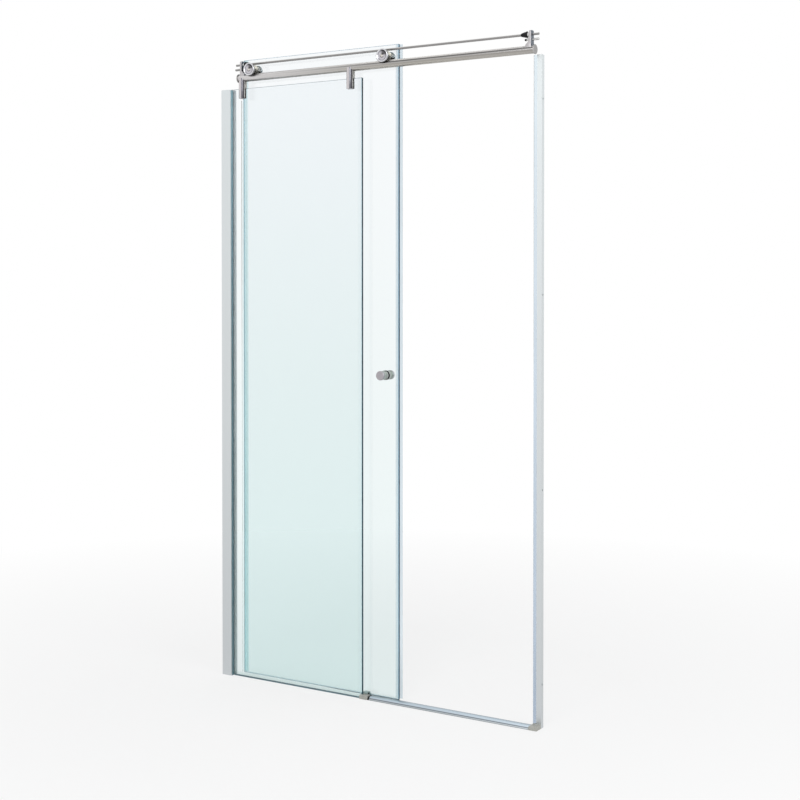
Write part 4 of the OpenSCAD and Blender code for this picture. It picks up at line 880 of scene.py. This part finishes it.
class SHOWERDOOR_OT_rollers(bpy.types.Operator):
    """Turns both hangers: disc, spacer, grooved wheel, hub, bushes and rear cap"""
    bl_idname = "showerdoor.rollers"
    bl_label = "Rollers"
    bl_options = {"REGISTER", "UNDO"}

    def execute(self, context):
        turns = context.scene.door_sizes.turns
        fine = turns + 24
        tube_z, tube_r = lying("header_tube")
        groove, wheel_bore, spacer_r, spacer_t = tube_r + GROOVE_GAP, 9.5, 8, 3
        bush_r, flange_r, flange_t = 7, 9, 1
        front, rear = box("door_glass")[0][1], box("door_glass")[1][1] + 0.15
        spacers, bushes = [], []
        for side in ("left", "right"):
            x, z, r, f, back = facing_room("roller_disc_" + side)
            at = (x, 0, z)
            disc = spun([(0, f + 0.6), (4.2, f + 0.7), (5.6, f + 1.2), (6.2, f + 2.6), (7.4, f + 2.8),
                         (r - 8, f + 2.5), (r - 4.8, f + 1.1), (r - 4.0, f + 0.5), (r - 3.4, f), (r - 1.4, f),
                         (r - 0.2, f + 0.9), (r, f + 2.2), (r, back - 0.6), (r - 0.6, back), (AXLE_R, back),
                         (AXLE_R, back - 2.8), (0, back - 2.8)],
                        [0, 0.8, 0.7, 0.6, 0.6, 1.0, 0.8, 0.6, 0.4, 0.6, 0.7, 0.6, 0.3, 0.3, 0, 0, 0],
                        at, "Y", fine)
            piece("dished_disc_" + side, [disc], "door", "disc", ["roller_disc_" + side])
            _, _, rim, y0, y1 = facing_room("roller_wheel_" + side)
            half, rise = (y1 - y0) / 2, z - tube_z
            edge = math.sqrt(groove**2 - (rise - rim) ** 2)
            y = np.linspace(-edge, edge, 25)
            cut = np.stack([rise - np.sqrt(groove**2 - y**2), y], 1)
            corners = np.concatenate([[0, 0.9, 0.5], np.zeros(23), [0.5, 0.9, 0]])
            outline = np.concatenate([[(wheel_bore, -half), (rim, -half)], cut,
                                      [(rim, half), (wheel_bore, half)]])
            piece("grooved_wheel_" + side, [spun(outline, corners, at, "Y", fine, 4, True)],
                  "wheel_" + side, "nylon", ["roller_wheel_" + side])
            _, _, hub_r, y0, y1 = facing_room("roller_hub_" + side)
            y = np.linspace(y0, y1, 21)
            barrel = np.stack([np.sqrt(hub_r**2 - (y - (y0 + y1) / 2) ** 2), y], 1)
            hub = np.concatenate([[(AXLE_R, y0)], barrel, [(AXLE_R, y1)]])
            piece("barrel_hub_" + side, [lathe(hub, at, "Y", turns, True)],
                  "door", "chrome", ["roller_hub_" + side])
            _, _, cap_r, y0, y1 = facing_room("rear_cap_" + side)
            dome = spun([(AXLE_R, y0), (cap_r, y0), (cap_r, y1 - 3.6), (cap_r - 2.4, y1 - 1.0),
                         (cap_r - 8, y1 - 0.2), (0, y1), (0, y0 + 5.2), (AXLE_R, y0 + 5.2)],
                        [0, 0.8, 1.4, 1.6, 1.5, 0, 0, 0], at, "Y", fine, 7, True)
            piece("domed_cap_" + side, [dome], "door", "rear_chrome", ["rear_cap_" + side])
            spacers.append(spun([(AXLE_R, back), (spacer_r, back), (spacer_r, back + spacer_t),
                                 (AXLE_R, back + spacer_t)], [0, 0.4, 0.4, 0], at, "Y", turns, 4, True))
            bushes.append(spun([(AXLE_R, front - flange_t), (flange_r, front - flange_t), (flange_r, front),
                                (bush_r, front), (bush_r, rear), (cap_r - 3, rear), (cap_r - 3, rear + 0.85),
                                (AXLE_R, rear + 0.85)], [0, 0.4, 0.1, 0, 0, 0.1, 0.4, 0],
                               at, "Y", turns, 4, True))
        piece("disc_spacers", spacers, "door", "rubber", ["roller_spacers"])
        piece("flanged_bushes", bushes, "door", "flange", ["glass_bushes"])
        return {"FINISHED"}


class SHOWERDOOR_OT_knob(bpy.types.Operator):
    """Turns the waisted knobs and the rubber rings under them"""
    bl_idname = "showerdoor.knob"
    bl_label = "Knob"
    bl_options = {"REGISTER", "UNDO"}

    def execute(self, context):
        groove = sizes_in_mm(context)["ring_depth"]
        x, z, r, end, _ = facing_room("knob_front")
        faces = box("door_glass")[0][1], box("door_glass")[1][1]
        mid, long = (faces[0] + faces[1]) / 2, faces[0] - end
        ring_t, ring_r, stud_r, sleeve_r, waist_r = 1.2, r + 0.5, 3, 6, 13.4
        t = np.linspace(20.88, 7.12, 19)
        waist = np.stack([r + 11 - np.sqrt(waist_r**2 - (t - (long / 2 - 1.5)) ** 2), t], 1)
        head = eased([(0, long - 0.25), (r - 4.2, long - 0.25), (r - 3.4, long), (r, long), (r, long - 3.4),
                      (r - groove, long - 3.8), (r, long - 4.2), (r, long - 9.7), (r - 0.5, long - 10.1)],
                     [0, 0.4, 0.3, 1.7, 0.15, 0.1, 0.15, 0.3, 0.1], 5, False)
        foot = eased([(r - 0.5, 6.8), (r - 0.5, ring_t), (stud_r, ring_t), (stud_r, 18), (0, 18)],
                     [0.2, 0.5, 0, 0, 0], 5, False)
        profile = np.concatenate([head, waist, foot])
        rings = []
        for side, face, s in (("front", faces[0], -1), ("rear", faces[1], 1)):
            knob = lathe(profile * (1, s) + (0, face), (x, 0, z), "Y", 96)
            piece("waisted_knob_" + side, [knob], "door", "nickel", ["knob_" + side])
            top = face + s * ring_t
            rings.append(spun([(stud_r, top), (ring_r, top), (ring_r, face), (sleeve_r, face), (sleeve_r, mid),
                               (stud_r, mid)], [0, 0.5, 0.3, 0, 0, 0], (x, 0, z), "Y", 72, 4, True))
        piece("knob_washers", rings, "door", "rubber", ["knob_rings"])
        return {"FINISHED"}


class SHOWERDOOR_OT_seals(bpy.types.Operator):
    """Carries the vinyl sections along the door's edges and gives them their wall"""
    bl_idname = "showerdoor.seals"
    bl_label = "Door seals"
    bl_options = {"REGISTER", "UNDO"}

    def execute(self, context):
        w = sizes_in_mm(context)["seal_wall"]
        pane_lo, pane_hi = box("door_glass")
        mid = (pane_lo[1] + pane_hi[1]) / 2
        front, back = pane_lo[1] - w / 2 - 0.15, pane_hi[1] + w / 2 + 0.15
        grip_radii = [0, 1.2, 1.2, 0]
        lo, hi = box("door_edge_seal")
        x, tip = pane_hi[0] + w / 2 + 0.2, hi[0] - w / 2
        grip = eased([(lo[0], front), (x, front), (x, back), (lo[0], back)], grip_radii, 5, False)
        bulge = eased([(x + w / 2, mid - 3.6), (x + 4, mid - 4.4), (tip - 2.5, mid - 3.4), (tip, mid),
                       (tip - 2.5, mid + 3.4), (x + 4, mid + 4.4), (x + w / 2, mid + 3.6)],
                      [0, 2, 3, 3, 3, 2, 0], 7, False)
        seal("bubble_seal", [grip, bulge], "Z", lo[2], hi[2], "door", "vinyl", ["door_edge_seal"], w)
        lo, hi = box("overlap_seal")
        x = pane_lo[0] - w / 2 - 0.2
        channel = eased([(hi[0], front), (x, front), (x, back), (hi[0], back)], grip_radii, 5, False)
        seal("overlap_channel", [channel], "Z", lo[2], hi[2], "door", "vinyl_rear", ["overlap_seal"], w)
        reach = front - lo[1] - 0.6
        lip = eased([(x, front), (x + 0.3, front - reach * 0.3), (x + 2.4, front - reach * 0.62),
                     (x + 7.4, lo[1] + 0.6)], [0, 3, 4, 0], 7, False)
        clamp_foot = box("clamp_left")[0][2]
        seal("overlap_lip", [lip], "Z", lo[2] + 2, clamp_foot - 6, "door", "lip", ["overlap_seal"], w)
        lo, hi = box("bottom_seal")
        z = pane_lo[2] - w / 2 - 0.2
        tray = eased([(front, hi[2]), (front, z), (back, z), (back, hi[2])], grip_radii, 5, False)
        wiper = eased([(mid - 0.4, z), (mid - 1, z - 2), (mid - 2.6, lo[2] + 0.1)], [0, 1.5, 0], 5, False)
        seal("wiping_seal", [tray, wiper], "X", lo[0], hi[0], "door", "lip", ["bottom_seal"], w)
        return {"FINISHED"}


class SHOWERDOOR_OT_sill(bpy.types.Operator):
    """Carries the ribbed threshold across the doorway, rounds its end block and finishes the guide"""
    bl_idname = "showerdoor.sill"
    bl_label = "Guide, threshold and end block"
    bl_options = {"REGISTER", "UNDO"}

    def execute(self, context):
        size = sizes_in_mm(context)
        lo, hi = box("threshold")
        y0, y1, top = lo[1], hi[1], hi[2]
        groove, depth = 0.35, 0.3
        starts = np.arange(y0 + 9.6, y1 - 2.5, size["rib_pitch"])
        ribs = np.array([[(y, top), (y + groove, top - depth), (y + 2 * groove, top)] for y in starts])
        ramp = eased([(y0, 0), (y0, 1), (y0 + 7.6, top - 0.3), (y0 + 9.2, top)], [0, 0.5, 1.2, 0], 5, False)
        tail = eased([(y1 - 2, top), (y1, top), (y1, 0)], [0, 0.8, 0], 5, False)
        sill = drawn(np.concatenate([ramp, ribs.reshape(-1, 2), tail]), "X", lo[0], hi[0], (0.15, 0.15))
        piece("ribbed_threshold", [sill], "frame", "threshold", ["threshold"])
        lo, hi = box("threshold_end_block")
        r = 7.0
        corner = arc(lo[0] + r, hi[2] - r, r, 180, 90, 13)
        outline = np.concatenate([[(hi[0], 0), (lo[0], 0)], corner, [(hi[0], hi[2])]])
        block = drawn(outline, "Y", lo[1], hi[1], (2.0, size["ease"]))
        piece("end_block", [block], "frame", "block", ["threshold_end_block"])
        dress("block", "guide_cover")
        dress("guide", "guide_block")
        dress("nylon", "guide_pads")
        dress("black_steel", "guide_screws")
        return {"FINISHED"}


class SHOWERDOOR_OT_strike(bpy.types.Operator):
    """Carries the hollow bulb of the strike seal up the closing wall"""
    bl_idname = "showerdoor.strike"
    bl_label = "Strike"
    bl_options = {"REGISTER", "UNDO"}

    def execute(self, context):
        w = sizes_in_mm(context)["seal_wall"]
        lo, hi = box("strike_seal")
        face, back = box("strike_profile")
        mid = (face[1] + back[1]) / 2
        x0, x1 = lo[0] + w / 2, face[0]
        lower = [(x1 + 2, -3.6), (x1 - 0.6, -3.6), (x1 - 0.6, -6.4), (x0 + 4, -6.4), (x0, -3.2)]
        outline = np.array(lower + [(x, -y) for x, y in lower[::-1]]) + (0, mid)
        bulb = eased(outline, [0, 0.3, 0.6, 3.2, 3, 3, 3.2, 0.6, 0.3, 0], 8, False)
        seal("strike_bulb", [bulb], "Z", lo[2], hi[2], "frame", "strike", ["strike_seal"], w)
        return {"FINISHED"}


def background_rays(tree):
    """1 for rays that see the backdrop directly, in a reflection or through glass, else 0."""
    path = tree.nodes.new("ShaderNodeLightPath")
    last = path.outputs["Is Camera Ray"]
    for name in ("Is Glossy Ray", "Is Transmission Ray"):
        top = tree.nodes.new("ShaderNodeMath")
        top.operation = "MAXIMUM"
        tree.links.new(last, top.inputs[0])
        tree.links.new(path.outputs[name], top.inputs[1])
        last = top.outputs[0]
    return last


def placed_object(name, data, where, look):
    """Lamp or camera at a place, its axis along a look direction."""
    ob = bpy.data.objects.new(name, data)
    bpy.context.scene.collection.objects.link(ob)
    ob.location = where
    ob.rotation_mode = "QUATERNION"
    ob.rotation_quaternion = look.to_track_quat("-Z", "Y")
    return ob


class SHOWERDOOR_OT_stage(bpy.types.Operator):
    """Sets up the pale floor, the white surroundings, two soft lamps and the camera"""
    bl_idname = "showerdoor.stage"
    bl_label = "Stage and camera"
    bl_options = {"REGISTER", "UNDO"}

    def execute(self, context):
        studio = context.scene.door_studio
        context.scene.view_settings.view_transform = "Standard"
        self.lay_floor(context.scene)
        self.surround(context.scene, studio.sky)
        for name, where, aim, size, power in (
            ("front lamp", (1.4, -4.2, 3.4), (0, 0, 1.2), 2.4, studio.key_power),
            ("side lamp", (3.8, -1.2, 2.4), (0, 0, 1.1), 2.0, studio.fill_power),
        ):
            lamp = bpy.data.lights.new(name, "AREA")
            lamp.shape, lamp.size, lamp.energy = "SQUARE", size, power
            placed_object(name, lamp, where, Vector(aim) - Vector(where))
        lens = bpy.data.cameras.new("photo camera")
        lens.sensor_width, lens.lens, lens.shift_y = 36.0, studio.lens, PHOTO_SHIFT
        lens.clip_start, lens.clip_end = 0.1, 80
        turn, dip = studio.turn, studio.dip
        look = Vector((-math.sin(turn) * math.cos(dip), math.cos(turn) * math.cos(dip), -math.sin(dip)))
        context.scene.camera = placed_object("photo camera", lens, studio.place, look)
        return {"FINISHED"}

    def lay_floor(self, scene):
        """Square floor just under the part, fading to white away from the door."""
        half, drop = 14.0, 0.0005
        mesh = bpy.data.meshes.new("floor")
        mesh.from_pydata([(x * half, y * half, -drop) for x, y in ((-1, -1), (1, -1), (1, 1), (-1, 1))], [],
                         [(0, 1, 2, 3)])
        floor = bpy.data.objects.new("floor", mesh)
        scene.collection.objects.link(floor)
        f = Finish("pale floor", Roughness=0.9, Specular_IOR_Level=0.1)
        f.tint(f.mottled(f.noise(0.8), (0.90, 0.90, 0.90), (0.92, 0.92, 0.92)))
        away = f.node("VectorMath", operation="LENGTH")
        f.link(f.node("TexCoord"), "Object", away, 0)
        share = f.node("Math", operation="MULTIPLY")
        f.tree.links.new(background_rays(f.tree), share.inputs[0])
        f.link(f.spread(away, "Value", 0.72, 1.0, 0.9, 3.2), "Result", share, 1)
        mix = f.node("MixShader")
        f.link(share, 0, mix, 0)
        f.link(f.shader, "BSDF", mix, 1)
        f.link(f.node("Emission", {"Strength": 1.0}), "Emission", mix, 2)
        f.link(mix, 0, f.out, "Surface")
        mesh.materials.append(f.mat)

    def surround(self, scene, sky):
        """White world where it is seen, and softer light on the part."""
        world = bpy.data.worlds.new("white studio")
        scene.world = world
        world.use_nodes = True
        tree = world.node_tree
        tree.nodes.clear()
        out, mix = tree.nodes.new("ShaderNodeOutputWorld"), tree.nodes.new("ShaderNodeMixShader")
        tree.links.new(background_rays(tree), mix.inputs[0])
        for socket, colour, strength in ((1, (0.98, 0.99, 1.0, 1), sky), (2, (1, 1, 1, 1), 1.0)):
            light = tree.nodes.new("ShaderNodeBackground")
            light.inputs["Color"].default_value = colour
            light.inputs["Strength"].default_value = strength
            tree.links.new(light.outputs[0], mix.inputs[socket])
        tree.links.new(mix.outputs[0], out.inputs[0])


STEPS = (SHOWERDOOR_OT_finishes, SHOWERDOOR_OT_panes, SHOWERDOOR_OT_header, SHOWERDOOR_OT_brackets,
         SHOWERDOOR_OT_soft_stops, SHOWERDOOR_OT_clamps, SHOWERDOOR_OT_rollers, SHOWERDOOR_OT_knob,
         SHOWERDOOR_OT_seals, SHOWERDOOR_OT_sill, SHOWERDOOR_OT_strike, SHOWERDOOR_OT_stage)


class SHOWERDOOR_PT_panel(bpy.types.Panel):
    """Sizes, colours and build steps of the shower door"""
    bl_idname = "SHOWERDOOR_PT_panel"
    bl_label = "Shower Door"
    bl_space_type = "VIEW_3D"
    bl_region_type = "UI"
    bl_category = "Shower Door"

    def draw(self, context):
        for title, group in (("Sizes", context.scene.door_sizes), ("Colours", context.scene.door_colours),
                             ("Studio", context.scene.door_studio)):
            area = self.layout.box()
            area.label(text=title)
            for key in group.__annotations__:
                area.prop(group, key)
        for step in STEPS:
            self.layout.operator(step.bl_idname)


GROUPS = (ShowerDoorSizes, ShowerDoorColours, ShowerDoorStudio)


def register():
    for cls in GROUPS + STEPS + (SHOWERDOOR_PT_panel,):
        bpy.utils.register_class(cls)
    bpy.types.Scene.door_sizes = bpy.props.PointerProperty(type=ShowerDoorSizes)
    bpy.types.Scene.door_colours = bpy.props.PointerProperty(type=ShowerDoorColours)
    bpy.types.Scene.door_studio = bpy.props.PointerProperty(type=ShowerDoorStudio)


def unregister():
    del bpy.types.Scene.door_studio, bpy.types.Scene.door_colours, bpy.types.Scene.door_sizes
    for cls in reversed(GROUPS + STEPS + (SHOWERDOOR_PT_panel,)):
        bpy.utils.unregister_class(cls)


def main():
    """Registers the add-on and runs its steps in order."""
    register()
    for step in STEPS:
        group, name = step.bl_idname.split(".")
        getattr(getattr(bpy.ops, group), name)()


if __name__ == "__main__":
    main()
